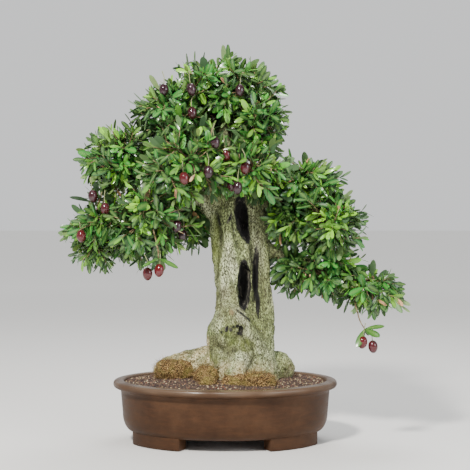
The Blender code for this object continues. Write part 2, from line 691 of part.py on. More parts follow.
def leaf_points(root, ahead, up, length, width):
    """A blade's corners: its two ends, its two edges, and its rib above and below."""
    side = ahead.cross(up).normalized()
    up = side.cross(ahead).normalized()
    tip = root + ahead * length - up * (length * LEAF_CURL)
    rib = root + ahead * (length * LEAF_WIDEST) - up * (length * LEAF_RIB_CURL)
    edge = side * (width / 2)
    fold = up * (width * LEAF_FOLD)
    return [root, tip, rib - edge + fold, rib + edge + fold, rib + up * (LEAF_THICK / 2), rib - up * (LEAF_THICK / 2)]


LEAF_OUTLINE = (0, 2, 1, 3)
LEAF_EDGES = list(zip(LEAF_OUTLINE, LEAF_OUTLINE[1:] + LEAF_OUTLINE[:1]))
LEAF_FACES = [(a, b, 4) for a, b in LEAF_EDGES] + [(b, a, 5) for a, b in LEAF_EDGES]


def leaf_object(points):
    mesh = bpy.data.meshes.new("leaf")
    mesh.from_pydata(points, [], LEAF_FACES)
    bm = bmesh.new()
    bm.from_mesh(mesh)
    bmesh.ops.triangulate(bm, faces=bm.faces)
    bmesh.ops.recalc_face_normals(bm, faces=bm.faces)
    bm.to_mesh(mesh)
    bm.free()
    return bpy.data.objects.new("leaf", mesh)


def bvh_of_mesh(mesh):
    return BVHTree.FromPolygons([v.co for v in mesh.vertices], [p.vertices for p in mesh.polygons])


def even_ways(count, turn):
    """Directions spread evenly over a sphere."""
    golden = math.pi * (3 - math.sqrt(5))
    for i in range(count):
        z = 1 - 2 * (i + 0.5) / count
        flat = math.sqrt(1 - z * z)
        yield Vector((flat * math.cos(golden * i + turn), flat * math.sin(golden * i + turn), z))


def shoot_leaves(root, axis, draw, count, spread):
    """The leaves of one shoot's end: a whorl that opens from its axis."""
    side = axis.orthogonal().normalized()
    turn = draw.uniform(0, math.tau)
    for k in range(count):
        spin = Matrix.Rotation(turn + math.tau * k / count, 3, axis)
        opening = math.radians(spread + draw.uniform(-OPENING_SPREAD, OPENING_SPREAD))
        out = spin @ side
        ahead = (axis * math.cos(opening) + out * math.sin(opening)).normalized()
        up = (axis * math.sin(opening) - out * math.cos(opening)).normalized()
        size = 1 + draw.uniform(-LEAF_SPREAD, LEAF_SPREAD)
        yield leaf_points(root, ahead, up, LEAF_LENGTH * size, LEAF_WIDTH * size)


def towards(tree, start, target):
    """Where the way from a start to a target first meets a body, and the face's normal there."""
    found, normal, _, _ = tree.ray_cast(start, (target - start).normalized())
    return found, normal


def stalk_mesh(olive, start, sunk, arch=STALK_ARCH, reach=OLIVE_WIDTH):
    """An olive's stalk: out of the twig or the heart, over, and down into the olive's top."""
    top, up = Vector(olive["stalk_end"]), Vector(olive["stalk_way"])
    beside = start - top
    beside = (beside - up * beside.dot(up)).normalized()
    run = [top + up * arch + beside * reach, top]
    root = start + (start - run[0]).normalized() * sunk
    bm = bmesh.new()
    tube(bm, [Vector((*point, STALK_WIDTH / 2)) for point in (root, *run)], STALK_SIDES, rounded=False)
    return mesh_from(bm, "stalk")


def clear_stalk(olive, heart_tree, olive_trees):
    """The stalk that leaves the pad's heart just high enough to keep off every olive."""
    if olive["on_twig"]:
        return stalk_mesh(olive, Vector(HANGING[olive["pad"]][0][-1]), HANGING_WIDTH / 2)
    for rise, arch, reach in itertools.product(range(OLIVE_DROPS), STALK_ARCHES, STALK_REACHES):
        aim = Vector(olive["stalk_end"]) + Vector(olive["stalk_way"]) * (rise * OLIVE_LENGTH / 2)
        start = heart_tree.find_nearest(aim)[0]
        stalk = stalk_mesh(olive, start, STALK_SUNK, arch * STALK_ARCH, reach * OLIVE_WIDTH)
        tree = bvh_of_mesh(stalk)
        if not any(tree.overlap(other) for other in olive_trees):
            return stalk
    raise ValueError(f"no clear way for the stalk of {olive.name}")


def twig_mesh(run, heart_tree, middle):
    """A hanging twig, rooted in the heart."""
    start, _ = towards(heart_tree, run[0].xyz + (run[0].xyz - middle), middle)
    inside = start + (middle - start).normalized() * STALK_SUNK
    bm = bmesh.new()
    tube(bm, [Vector((*inside, HANGING_WIDTH / 2))] + run, TWIG_SIDES, rounded=False)
    return mesh_from(bm, "twig")


def make_pad(name, heart, stems, blocked, trunk_clearance, draw):
    """One pad: heart, stalks and shoots joined, with its limb's seat cut out of it."""
    middle, half = Vector(PADS[name][0]), PADS[name][1]
    walls = cell_walls(name)
    heart_tree = bvh_of_mesh(heart)
    pad = add_object("foliage_" + name, heart, "leaf", smooth=False)
    repeats = bpy.data.collections.new("repeats")
    bpy.context.scene.collection.children.link(repeats)
    for stem in stems:
        repeats.objects.link(bpy.data.objects.new("stem", stem))
    taken = list(blocked)

    def add(points, confined=True):
        if confined and not in_cell(points, middle, walls):
            return
        tree = BVHTree.FromPolygons(points, LEAF_FACES)
        if not any(tree.overlap(other) for other in taken):
            taken.append(tree)
            repeats.objects.link(leaf_object(points))

    if name in HANGING:
        run = smooth_run([(*point, HANGING_WIDTH / 2) for point in HANGING[name][0]], HANGING_STEP)
        ahead = (run[-1].xyz - run[-2].xyz).normalized()
        root = run[-1].xyz - ahead * STALK_SUNK / 2
        for points in shoot_leaves(root, ahead, draw, HANGING_LEAVES, HANGING_OPENING):
            add(points, confined=False)
    area = 4 * (half[0] * half[1] + half[1] * half[2] + half[2] * half[0])
    for way in even_ways(round(area * SHOOTS_PER_AREA), draw.uniform(0, math.tau)):
        found, normal = towards(heart_tree, middle + way, middle)
        axis = (normal + Vector((0, 0, SHOOT_LIFT)) + way * SHOOT_OUTWARD).normalized()
        for points in shoot_leaves(found - axis * LEAF_SUNK, axis, draw, SHOOT_LEAVES, SHOOT_OPENING):
            add(points)
    boolean(pad, repeats, "UNION", "MANIFOLD")
    remove(*repeats.objects)
    bpy.data.collections.remove(repeats)
    boolean(pad, trunk_clearance, "DIFFERENCE", "MANIFOLD")
    keep_largest_body(pad.data)
    pad.data.materials.clear()
    pad.data.materials.append(material("leaf"))
    pad.data.shade_flat()


def olive_mesh(top, lean):
    """One olive, hanging from a point: a little fuller near its stalk."""
    bm = bmesh.new()
    bmesh.ops.create_uvsphere(bm, u_segments=OLIVE_SEGMENTS, v_segments=OLIVE_RINGS, radius=0.5)
    for vert in bm.verts:
        width = OLIVE_WIDTH * (1 + OLIVE_SHOULDER * vert.co.z)
        vert.co = (vert.co.x * width, vert.co.y * width, vert.co.z * OLIVE_LENGTH)
        vert.co.z -= OLIVE_LENGTH / 2 + SEAT_GAP
    bmesh.ops.rotate(bm, verts=bm.verts, matrix=lean)
    bmesh.ops.translate(bm, verts=bm.verts, vec=top)
    return mesh_from(bm, "olive")


def place_olive(number, pad, centre, draw, on_twig=False):
    lean = Matrix.Rotation(math.radians(draw.uniform(-OLIVE_LEAN, OLIVE_LEAN)), 3, "Y")
    lean @= Matrix.Rotation(math.radians(draw.uniform(-OLIVE_LEAN, OLIVE_LEAN)), 3, "X")
    top = Vector(centre) + lean @ Vector((0, 0, OLIVE_LENGTH / 2))
    olive = add_object(f"olive_{number:02d}", olive_mesh(top, lean), "olive_skin")
    olive["stalk_end"] = top
    olive["stalk_way"] = lean @ Vector((0, 0, 1))
    olive["pad"] = pad
    olive["on_twig"] = on_twig
    return olive


def seen_first(trees, eye, target):
    """The pad that hides the others on the way from an eye to a target, and where it is met."""
    best = None
    for pad, tree in trees.items():
        found, _ = towards(tree, eye, target)
        if found and (best is None or (found - eye).length < (best[1] - eye).length):
            best = (pad, found)
    return best


def is_clear(centre, hearts, others):
    """Whether an olive there keeps off every pad's heart and every other olive."""
    off_hearts = all(heart.find_nearest(centre)[3] > OLIVE_LENGTH / 2 + SEAT_GAP for heart in hearts.values())
    return off_hearts and all((centre - other).length > OLIVE_LENGTH + SEAT_GAP for other in others)


def make_olives(trees, hearts, draw):
    """The olives: each hangs among the outer leaves of the pad seen there, or a little below it."""
    olives = []
    front = Vector(VIEWPOINT)
    back = Vector((front.x, -front.y, front.z))
    centres = []
    for eye, places in ((front, OLIVES_IN_FRONT), (back, OLIVES_BEHIND)):
        for x, z in places:
            way = (Vector((x, 0, z)) - eye).normalized()
            higher = (Vector((x, 0, z + i * OLIVE_LENGTH / 2)) for i in range(OLIVE_DROPS))
            seen = next(filter(None, (seen_first(trees, eye, target) for target in higher)), None)
            if seen is None:
                raise ValueError(f"no pad stands behind an olive at {x}, {z}")
            pad, found = seen
            centre = eye + way * (found - eye).length
            while not is_clear(centre, hearts, centres):
                centre -= way * OLIVE_STEP
            centres.append(centre)
            olives.append(place_olive(len(olives) + 1, pad, centre, draw))
    for pad, (_, places) in HANGING.items():
        for place in places:
            olives.append(place_olive(len(olives) + 1, pad, place, draw, on_twig=True))
    return olives


def make_foliage(trunk_clearance, draw):
    """All pads and their olives, each pad kept clear of every olive, stalk and limb."""
    hearts = {name: pad_body(name, HEART_SHARE) for name in PADS}
    trees = {name: bvh_of_mesh(heart) for name, heart in hearts.items()}
    outer = {name: bvh_of_mesh(pad_body(name, OLIVE_SHARE)) for name in PADS}
    olives = make_olives(outer, trees, draw)
    olive_trees = [bvh_of_mesh(olive.data) for olive in olives]
    stems = {name: [] for name in PADS}
    for olive in olives:
        stems[olive["pad"]].append(clear_stalk(olive, trees[olive["pad"]], olive_trees))
    for pad, (twig, _) in HANGING.items():
        run = smooth_run([(*point, HANGING_WIDTH / 2) for point in twig], HANGING_STEP)
        stems[pad].append(twig_mesh(run, trees[pad], Vector(PADS[pad][0])))
    blocked = [bvh_of_mesh(trunk_clearance.data)]
    blocked += olive_trees
    blocked += [bvh_of_mesh(stem) for group in stems.values() for stem in group]
    for name, heart in hearts.items():
        make_pad(name, heart, stems[name], blocked, trunk_clearance, draw)


def main():
    clear_scene()
    draw = random.Random(SEED)
    make_pot()
    screens = make_screens()
    trunk = make_trunk()
    trunk_clearance = clearance(trunk)
    clods = make_clods(trunk_clearance)
    clod_clearances = [clearance(clod) for clod in clods]
    make_soil([trunk_clearance, *clod_clearances], screens)
    make_foliage(trunk_clearance, draw)
    remove(trunk_clearance, *clod_clearances)
    for obj in bpy.data.objects:
        obj.location = POT_PLACE


main()
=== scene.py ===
"""Dresses the olive bonsai: leaves on their shoots, bark, soil, root fibre, olives and glaze.

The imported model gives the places. Lengths are in metres, +Z is up and -Y is the front. Places
of the tree are given from the middle of the pot, at the foot of its feet, and are moved with it.
"""

import math
import random

import bmesh
import bpy
from bpy.props import FloatProperty, FloatVectorProperty, IntProperty, PointerProperty
from mathutils import geometry, kdtree, Matrix, noise, Vector
from mathutils.bvhtree import BVHTree


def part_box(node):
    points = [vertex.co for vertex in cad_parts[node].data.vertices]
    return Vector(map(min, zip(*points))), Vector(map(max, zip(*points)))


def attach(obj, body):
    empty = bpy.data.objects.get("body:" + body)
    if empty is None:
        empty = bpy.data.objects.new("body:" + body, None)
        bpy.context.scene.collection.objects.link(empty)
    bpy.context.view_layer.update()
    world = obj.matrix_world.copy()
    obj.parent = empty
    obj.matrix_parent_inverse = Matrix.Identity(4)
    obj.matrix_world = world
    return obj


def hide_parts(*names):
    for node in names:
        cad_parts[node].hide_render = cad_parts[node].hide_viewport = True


bl_info = {
    "name": "Olive Bonsai",
    "version": (1, 0, 0),
    "blender": (4, 5, 0),
    "location": "View3D > Sidebar > Bonsai",
    "description": "Dresses an olive bonsai with leaves, bark, soil, olives and a stoneware pot",
    "category": "Object",
}

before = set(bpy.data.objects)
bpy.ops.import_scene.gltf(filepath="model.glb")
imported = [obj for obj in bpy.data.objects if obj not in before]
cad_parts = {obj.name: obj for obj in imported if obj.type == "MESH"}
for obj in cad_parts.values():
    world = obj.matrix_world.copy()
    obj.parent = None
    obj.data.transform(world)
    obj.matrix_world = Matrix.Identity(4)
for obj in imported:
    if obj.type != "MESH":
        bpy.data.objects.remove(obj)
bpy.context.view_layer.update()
SEED = 11
KIND_SEED = 5


def middle_of(node):
    """The middle of a node's box."""
    low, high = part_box(node)
    return (Vector(low) + Vector(high)) / 2


POT_MIDDLE = Vector((middle_of("pot").x, middle_of("pot").y, 0.0))
POT_LOW, POT_HIGH = (Vector(corner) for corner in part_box("pot"))
POT_LENGTH = POT_HIGH.x - POT_LOW.x
POT_DEPTH = POT_HIGH.y - POT_LOW.y
POT_HEIGHT = POT_HIGH.z

# Wood: each strand is a run of (x, y, z, radius), as in the solids
STRANDS = {
    "stem": [
        (0.018, 0.004, 0.080, 0.050), (0.018, 0.002, 0.112, 0.056), (0.014, 0.000, 0.150, 0.049),
        (0.014, 0.002, 0.195, 0.039), (0.018, 0.002, 0.240, 0.034), (0.017, 0.000, 0.290, 0.036),
        (0.013, 0.000, 0.345, 0.039), (0.009, 0.002, 0.390, 0.038), (0.004, 0.004, 0.425, 0.036),
    ],
    "stem_right": [
        (0.058, -0.004, 0.085, 0.042), (0.060, -0.006, 0.125, 0.036), (0.064, -0.006, 0.170, 0.026),
        (0.068, -0.004, 0.220, 0.019), (0.066, -0.002, 0.270, 0.0155), (0.065, 0.002, 0.320, 0.0155),
        (0.065, 0.006, 0.355, 0.017), (0.058, 0.008, 0.395, 0.016), (0.046, 0.010, 0.430, 0.016),
    ],
    "stem_back": [
        (0.040, 0.030, 0.085, 0.042), (0.042, 0.030, 0.150, 0.036), (0.044, 0.026, 0.230, 0.031),
        (0.042, 0.024, 0.310, 0.031), (0.036, 0.024, 0.380, 0.030), (0.024, 0.022, 0.430, 0.028),
    ],
    "burl": [
        (-0.006, -0.016, 0.172, 0.026), (-0.001, -0.022, 0.198, 0.031), (0.008, -0.018, 0.226, 0.022),
    ],
    "fold": [
        (0.000, -0.026, 0.246, 0.010), (0.016, -0.036, 0.232, 0.013), (0.036, -0.040, 0.208, 0.016),
        (0.052, -0.036, 0.180, 0.018), (0.062, -0.026, 0.145, 0.024), (0.066, -0.020, 0.110, 0.030),
    ],
    "root_left": [
        (0.000, 0.012, 0.120, 0.046), (-0.034, 0.022, 0.130, 0.036), (-0.068, 0.032, 0.132, 0.026),
        (-0.100, 0.040, 0.126, 0.021), (-0.118, 0.044, 0.118, 0.018),
    ],
    "root_knob": [
        (-0.012, -0.030, 0.168, 0.010), (-0.015, -0.038, 0.154, 0.0105), (-0.012, -0.040, 0.140, 0.010),
    ],
    "root_front": [
        (0.016, -0.020, 0.140, 0.030), (0.018, -0.040, 0.116, 0.026), (0.020, -0.048, 0.098, 0.020),
    ],
    "root_right": [
        (0.080, 0.012, 0.126, 0.030), (0.098, 0.020, 0.134, 0.025), (0.106, 0.024, 0.118, 0.022),
    ],
    "root_back": [
        (0.040, 0.040, 0.120, 0.036), (0.034, 0.066, 0.106, 0.026), (0.026, 0.088, 0.092, 0.018),
    ],
}
# The limb that carries each pad
LIMBS = {
    "crown_top": [
        (0.006, 0.006, 0.410, 0.032), (0.002, 0.010, 0.460, 0.026), (-0.002, 0.004, 0.515, 0.020),
        (0.004, 0.000, 0.565, 0.014), (0.006, 0.000, 0.620, 0.009),
    ],
    "crown_left": [
        (0.000, 0.006, 0.490, 0.018), (-0.030, -0.008, 0.530, 0.013), (-0.060, -0.020, 0.565, 0.009),
        (-0.078, -0.024, 0.585, 0.007),
    ],
    "crown_right": [
        (0.000, 0.002, 0.500, 0.015), (0.026, -0.010, 0.536, 0.010), (0.048, -0.018, 0.562, 0.007),
    ],
    "crown_back": [
        (0.000, 0.010, 0.470, 0.018), (-0.004, 0.045, 0.520, 0.012), (-0.010, 0.080, 0.556, 0.008),
    ],
    "shoulder_left": [
        (-0.004, 0.004, 0.405, 0.026), (-0.044, 0.000, 0.436, 0.021), (-0.090, 0.002, 0.462, 0.016),
        (-0.136, 0.008, 0.486, 0.012), (-0.175, 0.010, 0.502, 0.008),
    ],
    "shoulder_front": [
        (-0.004, -0.006, 0.425, 0.020), (-0.026, -0.040, 0.458, 0.013), (-0.050, -0.072, 0.484, 0.008),
    ],
    "shoulder_back": [
        (0.000, 0.016, 0.420, 0.020), (-0.040, 0.060, 0.448, 0.014), (-0.084, 0.096, 0.468, 0.008),
    ],
    "low_left_tip": [
        (-0.040, 0.000, 0.434, 0.017), (-0.090, -0.006, 0.420, 0.014), (-0.150, -0.014, 0.404, 0.011),
        (-0.205, -0.016, 0.394, 0.008),
    ],
    "low_left_front": [
        (-0.070, -0.004, 0.424, 0.012), (-0.100, -0.030, 0.412, 0.009), (-0.124, -0.054, 0.400, 0.007),
    ],
    "low_left_back": [
        (-0.060, -0.002, 0.426, 0.013), (-0.096, 0.040, 0.410, 0.010), (-0.132, 0.080, 0.390, 0.007),
    ],
    "centre_right": [
        (0.018, 0.000, 0.430, 0.018), (0.036, -0.030, 0.456, 0.012), (0.048, -0.056, 0.478, 0.007),
    ],
    "right_top": [
        (0.036, 0.012, 0.415, 0.022), (0.076, 0.014, 0.434, 0.016), (0.110, 0.008, 0.450, 0.011),
        (0.138, 0.002, 0.462, 0.008),
    ],
    "right_mid": [
        (0.078, 0.014, 0.434, 0.014), (0.120, -0.006, 0.420, 0.011), (0.158, -0.024, 0.408, 0.009),
        (0.182, -0.032, 0.398, 0.007),
    ],
    "right_back": [
        (0.050, 0.020, 0.400, 0.018), (0.090, 0.056, 0.408, 0.013), (0.140, 0.086, 0.412, 0.008),
    ],
    "right_low": [
        (0.052, 0.006, 0.338, 0.018), (0.086, 0.010, 0.336, 0.014), (0.124, 0.012, 0.326, 0.011),
        (0.164, 0.006, 0.312, 0.009),
    ],
    "right_tip": [
        (0.160, 0.006, 0.314, 0.0085), (0.206, -0.002, 0.300, 0.0075), (0.254, -0.008, 0.282, 0.006),
    ],
}
# Hollows of the trunk: middle, half sizes, lean of the long way about Y in degrees
HOLLOWS = [
    ((0.0335, -0.030, 0.279), (0.0110, 0.034, 0.042), 0.0),
    ((0.030, -0.030, 0.404), (0.0115, 0.034, 0.036), -6.0),
    ((0.037, -0.036, 0.372), (0.0085, 0.026, 0.020), -18.0),
    ((0.0545, -0.026, 0.300), (0.0048, 0.026, 0.052), 1.0),
    ((0.0565, -0.026, 0.252), (0.0034, 0.020, 0.030), -3.0),
    ((0.027, -0.054, 0.202), (0.0042, 0.014, 0.0085), 8.0),
    ((0.015, -0.054, 0.208), (0.0036, 0.010, 0.0060), -10.0),
    ((0.003, -0.054, 0.204), (0.0034, 0.008, 0.0050), 0.0),
    ((-0.012, -0.036, 0.395), (0.0024, 0.012, 0.013), -8.0),
    ((0.008, -0.040, 0.398), (0.0020, 0.010, 0.010), 25.0),
    ((0.032, -0.052, 0.229), (0.0018, 0.016, 0.018), -52.0),
]
# Small holes round the burl's rotten heart, beside those of the solid
ROT_HOLES = [
    ((0.0235, -0.055, 0.1935), (0.0060, 0.015, 0.0076), 15.0),
    ((0.0205, -0.055, 0.2080), (0.0042, 0.012, 0.0048), 40.0),
    ((0.0110, -0.055, 0.2030), (0.0040, 0.012, 0.0050), -18.0),
    ((0.0165, -0.056, 0.1985), (0.0036, 0.012, 0.0030), 5.0),
    ((0.0050, -0.055, 0.2085), (0.0026, 0.010, 0.0026), 12.0),
    ((-0.0060, -0.054, 0.1985), (0.0020, 0.010, 0.0024), 0.0),
]
# Marks on the front of the trunk: middle (x, z) and half sizes
SCAR = ((0.0115, 0.233), (0.0055, 0.0075))
# Pale patches: the first three follow the bare ridge below the scar; the others are painted light on the low
# and left parts of the trunk's front
BARE_AND_LIT_PATCHES = [
    ((0.022, 0.232), (0.010, 0.013)), ((0.034, 0.212), (0.011, 0.014)), ((0.046, 0.192), (0.011, 0.014)),
    ((0.004, 0.310), (0.018, 0.070)), ((0.016, 0.148), (0.034, 0.020)), ((-0.014, 0.212), (0.016, 0.022)),
]
# Dark green patches on the trunk's front: moss near the soil, moss with painted shade round and below the
# burl's heart, and painted shade in the long patch up the left strand
MOSS_AND_SHADE_SPOTS = [
    ((0.012, 0.200), (0.030, 0.020)), ((0.036, 0.176), (0.016, 0.018)), ((0.008, 0.182), (0.026, 0.010)),
    ((-0.020, 0.150), (0.030, 0.014)), ((-0.016, 0.330), (0.012, 0.110)), ((0.060, 0.128), (0.030, 0.012)),
]
ROOT_CUT = 0.088
TRUNK_AXIS = Vector((0.030, 0.008))
WOOD_SPACING = 0.010
FINDER_SPACING = 0.008
WOOD_SIDES = 16
FIRST_VOXEL = 0.0026
WOOD_VOXEL = 0.0021
# Bark furrows: width across, length along, depth; they are full on limbs of the stout radius
BARK_GROOVES = ((0.0150, 0.150, 0.0020), (0.0052, 0.030, 0.0013))
STOUT_LIMB = 0.022
# Seams between the strands on the trunk's front: points (x, z), half width, depth
SEAMS = [
    ([(-0.018, 0.410), (-0.011, 0.375), (-0.010, 0.340), (-0.016, 0.300), (-0.022, 0.270)], 0.0075, 0.006),
    ([(0.062, 0.345), (0.064, 0.300), (0.062, 0.262), (0.056, 0.228)], 0.0060, 0.0045),
    ([(0.046, 0.352), (0.052, 0.300), (0.054, 0.250)], 0.0050, 0.0040),
    ([(0.012, 0.398), (0.017, 0.362), (0.030, 0.340)], 0.0050, 0.0035),
    ([(-0.030, 0.222), (-0.022, 0.246), (-0.010, 0.262)], 0.0070, 0.0040),
    ([(0.044, 0.186), (0.048, 0.160), (0.040, 0.130)], 0.0070, 0.0040),
    ([(-0.012, 0.172), (0.004, 0.160), (0.020, 0.166)], 0.0060, 0.0045),
]
# Flutes that wind up the trunk, their twist in radians
FLUTES = 9
FLUTE_DEPTH = 0.0032
FLUTE_TWIST = 9.0
FLUTE_LOW, FLUTE_HIGH = 0.125, 0.430
FLUTE_REACH = 0.075
# Only points in front of this depth are on the front of the trunk
TRUNK_FRONT = 0.010

# Pot, soil and clods
# Where each foot starts and how far it goes, in degrees round the oval
POT_FEET = (19, 199, 117, 297)
FOOT_SPAN = 44
FOOT_STEPS = 14
FOOT_INSET = 0.027
FOOT_WIDTH = 0.026
FOOT_TOP = 0.026
FOOT_EDGE = 0.0022
DRAIN_OFFSET = 0.075
DRAIN_RADIUS = 0.012
# Width of the band on the lip's crown that is painted paler: wear and painted highlight
LIP_WEAR_AND_HIGHLIGHT_BAND = 0.012
SOIL_LEVEL, SOIL_MOUND = 0.103, 0.010
SOIL_SIDES = 120
SOIL_RINGS = 22
# The soil's wall inside the pot: inset from the lip's edge, height
SOIL_WALL = [(0.0508, 0.0305), (0.0345, 0.038), (0.0275, 0.060), (0.0205, 0.099)]
SOIL_EDGE = 0.0207
CLODS = ("root_clod_left", "root_clod_middle", "root_clod_right")
CLOD_VOXEL = 0.0018
CLOD_FIBRES, LOOSE_FIBRES = 110000.0, 90000.0
# Fibre and peat that has crumbled off between the clods: middle, half sizes
LOOSE_FIBRE = [
    ((0.006, -0.082, 0.112), (0.020, 0.012, 0.016)), ((0.022, -0.084, 0.112), (0.014, 0.010, 0.020)),
    ((-0.048, -0.080, 0.112), (0.016, 0.012, 0.014)), ((-0.012, -0.080, 0.110), (0.014, 0.012, 0.016)),
]

# Foliage pads: (middle, half sizes), as in the solids
PADS = {
    "crown_top": ((0.006, -0.002, 0.632), (0.092, 0.088, 0.074)),
    "crown_left": ((-0.086, -0.026, 0.592), (0.078, 0.082, 0.076)),
    "crown_right": ((0.060, -0.022, 0.572), (0.058, 0.078, 0.068)),
    "crown_back": ((-0.014, 0.096, 0.568), (0.106, 0.074, 0.086)),
    "shoulder_left": ((-0.184, 0.012, 0.508), (0.084, 0.086, 0.072)),
    "shoulder_front": ((-0.062, -0.088, 0.496), (0.092, 0.068, 0.078)),
    "shoulder_back": ((-0.096, 0.112, 0.476), (0.100, 0.070, 0.082)),
    "low_left_tip": ((-0.216, -0.018, 0.386), (0.078, 0.084, 0.078)),
    "low_left_front": ((-0.134, -0.064, 0.396), (0.076, 0.074, 0.078)),
    "low_left_back": ((-0.140, 0.092, 0.386), (0.080, 0.070, 0.064)),
    "centre_right": ((0.044, -0.068, 0.486), (0.070, 0.062, 0.058)),
    "right_top": ((0.142, 0.000, 0.464), (0.070, 0.086, 0.060)),
    "right_mid": ((0.190, -0.040, 0.394), (0.070, 0.076, 0.068)),
    "right_back": ((0.152, 0.096, 0.408), (0.086, 0.070, 0.074)),
    "right_low": ((0.172, 0.006, 0.306), (0.076, 0.082, 0.056)),
    "right_tip": ((0.262, -0.012, 0.276), (0.062, 0.070, 0.048)),
}
# How much the shoots of a pad rise towards the light; below zero they hang
USUAL_LIFT = 0.45
PAD_LIFT = {
    "low_left_tip": -0.45, "low_left_front": -0.25, "low_left_back": -0.25, "right_tip": -0.35,
    "right_low": -0.10,
}
# How far a pad's shoots end inside its form, in leaf lengths: all round, and further at its top
USUAL_TRIM = (0.35, 0.45)
PAD_TRIM = {
    "crown_top": (0.30, 0.80), "crown_left": (0.35, 0.90), "shoulder_left": (0.35, 0.60),
    "low_left_tip": (0.20, 1.30), "low_left_front": (0.15, 0.60), "right_top": (0.30, 0.80),
    "right_mid": (0.60, 0.60), "right_tip": (0.30, 0.50),
}
# How much darker the leaves of the low pads are painted: partly older leaves, partly painted shade under the
# crown
PAD_SHADE = {
    "low_left_tip": 0.16, "low_left_front": 0.08, "low_left_back": 0.2, "shoulder_left": 0.06,
    "right_mid": 0.08, "right_low": 0.16, "right_back": 0.2, "crown_left": 0.03,
}
# Loose sprays on the inner part of a limb, between its pad and the trunk: middle, half sizes, shoots
INNER_SPRAYS = {
    "low_left_back": [((-0.054, 0.022, 0.388), (0.022, 0.050, 0.044), 34)],
    "right_mid": [((0.108, -0.012, 0.388), (0.032, 0.042, 0.042), 52)],
    "right_low": [((0.116, 0.000, 0.300), (0.028, 0.040, 0.030), 34)],
    "centre_right": [((0.092, -0.030, 0.448), (0.030, 0.040, 0.030), 24)],
}
# Twigs that hang out of a pad and end in a rosette of leaves
ROSETTE_LEAVES = 5
HANGING = {
    "right_tip": [
        (0.222, -0.030, 0.262), (0.226, -0.052, 0.240), (0.232, -0.062, 0.222), (0.243, -0.066, 0.206),
    ],
    "low_left_front": [(-0.118, -0.104, 0.372), (-0.112, -0.122, 0.350), (-0.112, -0.126, 0.332)],
}
# Branchlets of a pad: their number, and how far out their knots lie
BRANCHLETS, KNOT_REACH = 9, 0.42
# Radii of twigs at their foot and tip
BRANCHLET_RADII, SHOOT_RADII, SPRAY_RADII = (0.0024, 0.0015), (0.0013, 0.0007), (0.0014, 0.0007)
# Layers of shoots in a pad: reach as a share of its half sizes, share of the shoots
LAYERS = ((1.0, 0.62), (0.72, 0.38))
# How deep in another pad a shoot is left out, and how short it may be
CROWDED = 0.42
SHORTEST_SHOOT, SHORTEST_SPRAY = 0.020, 0.018
STANDING_OUT = 0.20
LEAFY_LENGTH = 0.060
MISSING_PAIRS = 0.10
DEAD_LEAVES = 0.006
# Opening of a pair of leaves in degrees: at the tip, more with each pair below, and at most
OPENING, OPENING_STEP, WIDEST_OPENING = 22, 11, 72
# The inner sprays' leaves are painted darker by their shade value: painted shade inside the crown
SPRAY_RISE, SPRAY_LIFT, SPRAY_SHADE = 0.2, 0.1, 0.22
# Room kept free of leaves: round an olive, in the line of sight before it, round the trunk's axis,
# and before the trunk (from left to right, in front of, below)
OLIVE_ROOM = 0.012
SIGHT_LENGTH, SIGHT_RADIUS = 0.09, 0.0085
TRUNK_ROOM, TRUNK_ROOM_TOP = 0.062, 0.42
BARE_TRUNK = ((-0.030, 0.076), (-0.02, 0.428))
OLIVE_WIDTH = 0.0166
LOW_OLIVES = 0.34
# The camera: its place from the middle of the pot, its pitch in degrees, its lens
VIEWPOINT = Vector((0.0175, -2.300, 0.437))
VIEW_PITCH = 88.27
LENS, SENSOR = 98.7, 36.0


# Blender helpers


def srgb(red, green, blue):
    """A linear colour from the usual 0 to 255 values."""
    channels = []
    for value in (red, green, blue):
        share = value / 255
        channels.append(share / 12.92 if share <= 0.04045 else ((share + 0.055) / 1.055) ** 2.4)
    return (*channels, 1.0)


def colour_property(name, description, default):
    """A setting for a colour."""
    values = {"name": name, "description": description, "default": default}
    return FloatVectorProperty(subtype="COLOR", size=4, min=0.0, max=1.0, **values)


def set_inputs(tree, node, values):
    """Sets a node's inputs, or links them, by name or number."""
    for key, value in values.items():
        if isinstance(value, bpy.types.NodeSocket):
            tree.links.new(value, node.inputs[key])
        else:
            node.inputs[key].default_value = value


def add_node(tree, kind, values=None, **settings):
    """A node with its settings and its inputs."""
    node = tree.nodes.new(kind)
    for key, value in settings.items():
        setattr(node, key, value)
    set_inputs(tree, node, values or {})
    return node


def mix(tree, factor, first, second):
    """The first colour, with a share of the second over it."""
    return add_node(tree, "ShaderNodeMix", {0: factor, 6: first, 7: second}, data_type="RGBA").outputs[2]


def ramp(tree, factor, *stops):
    """A ramp from (place, value or colour) stops."""
    node = add_node(tree, "ShaderNodeValToRGB", {0: factor})
    elements = node.color_ramp.elements
    while len(elements) < len(stops):
        elements.new(0.5)
    for element, (place, value) in zip(elements, stops):
        element.position = place
        element.color = value if isinstance(value, tuple) else (value, value, value, 1.0)
    return node.outputs[0]


def noise_of(tree, vector, scale, detail=3.0, rough=0.5):
    """A noise from 0 to 1; a higher scale is finer."""
    values = {"Vector": vector, "Scale": scale, "Detail": detail, "Roughness": rough}
    return add_node(tree, "ShaderNodeTexNoise", values).outputs[0]


def object_coordinates(tree, stretch=(1.0, 1.0, 1.0)):
    """The places on a piece, each axis scaled by the stretch."""
    places = add_node(tree, "ShaderNodeTexCoord").outputs["Object"]
    if stretch == (1.0, 1.0, 1.0):
        return places
    return add_node(tree, "ShaderNodeMapping", {"Vector": places, "Scale": stretch}).outputs[0]


def attribute(tree, name):
    """The value that the mesh stores by that name."""
    return add_node(tree, "ShaderNodeAttribute", attribute_name=name).outputs["Fac"]


def bump(tree, height, strength, distance):
    """A normal raised by a height."""
    values = {"Height": height, "Strength": strength, "Distance": distance}
    return add_node(tree, "ShaderNodeBump", values).outputs[0]


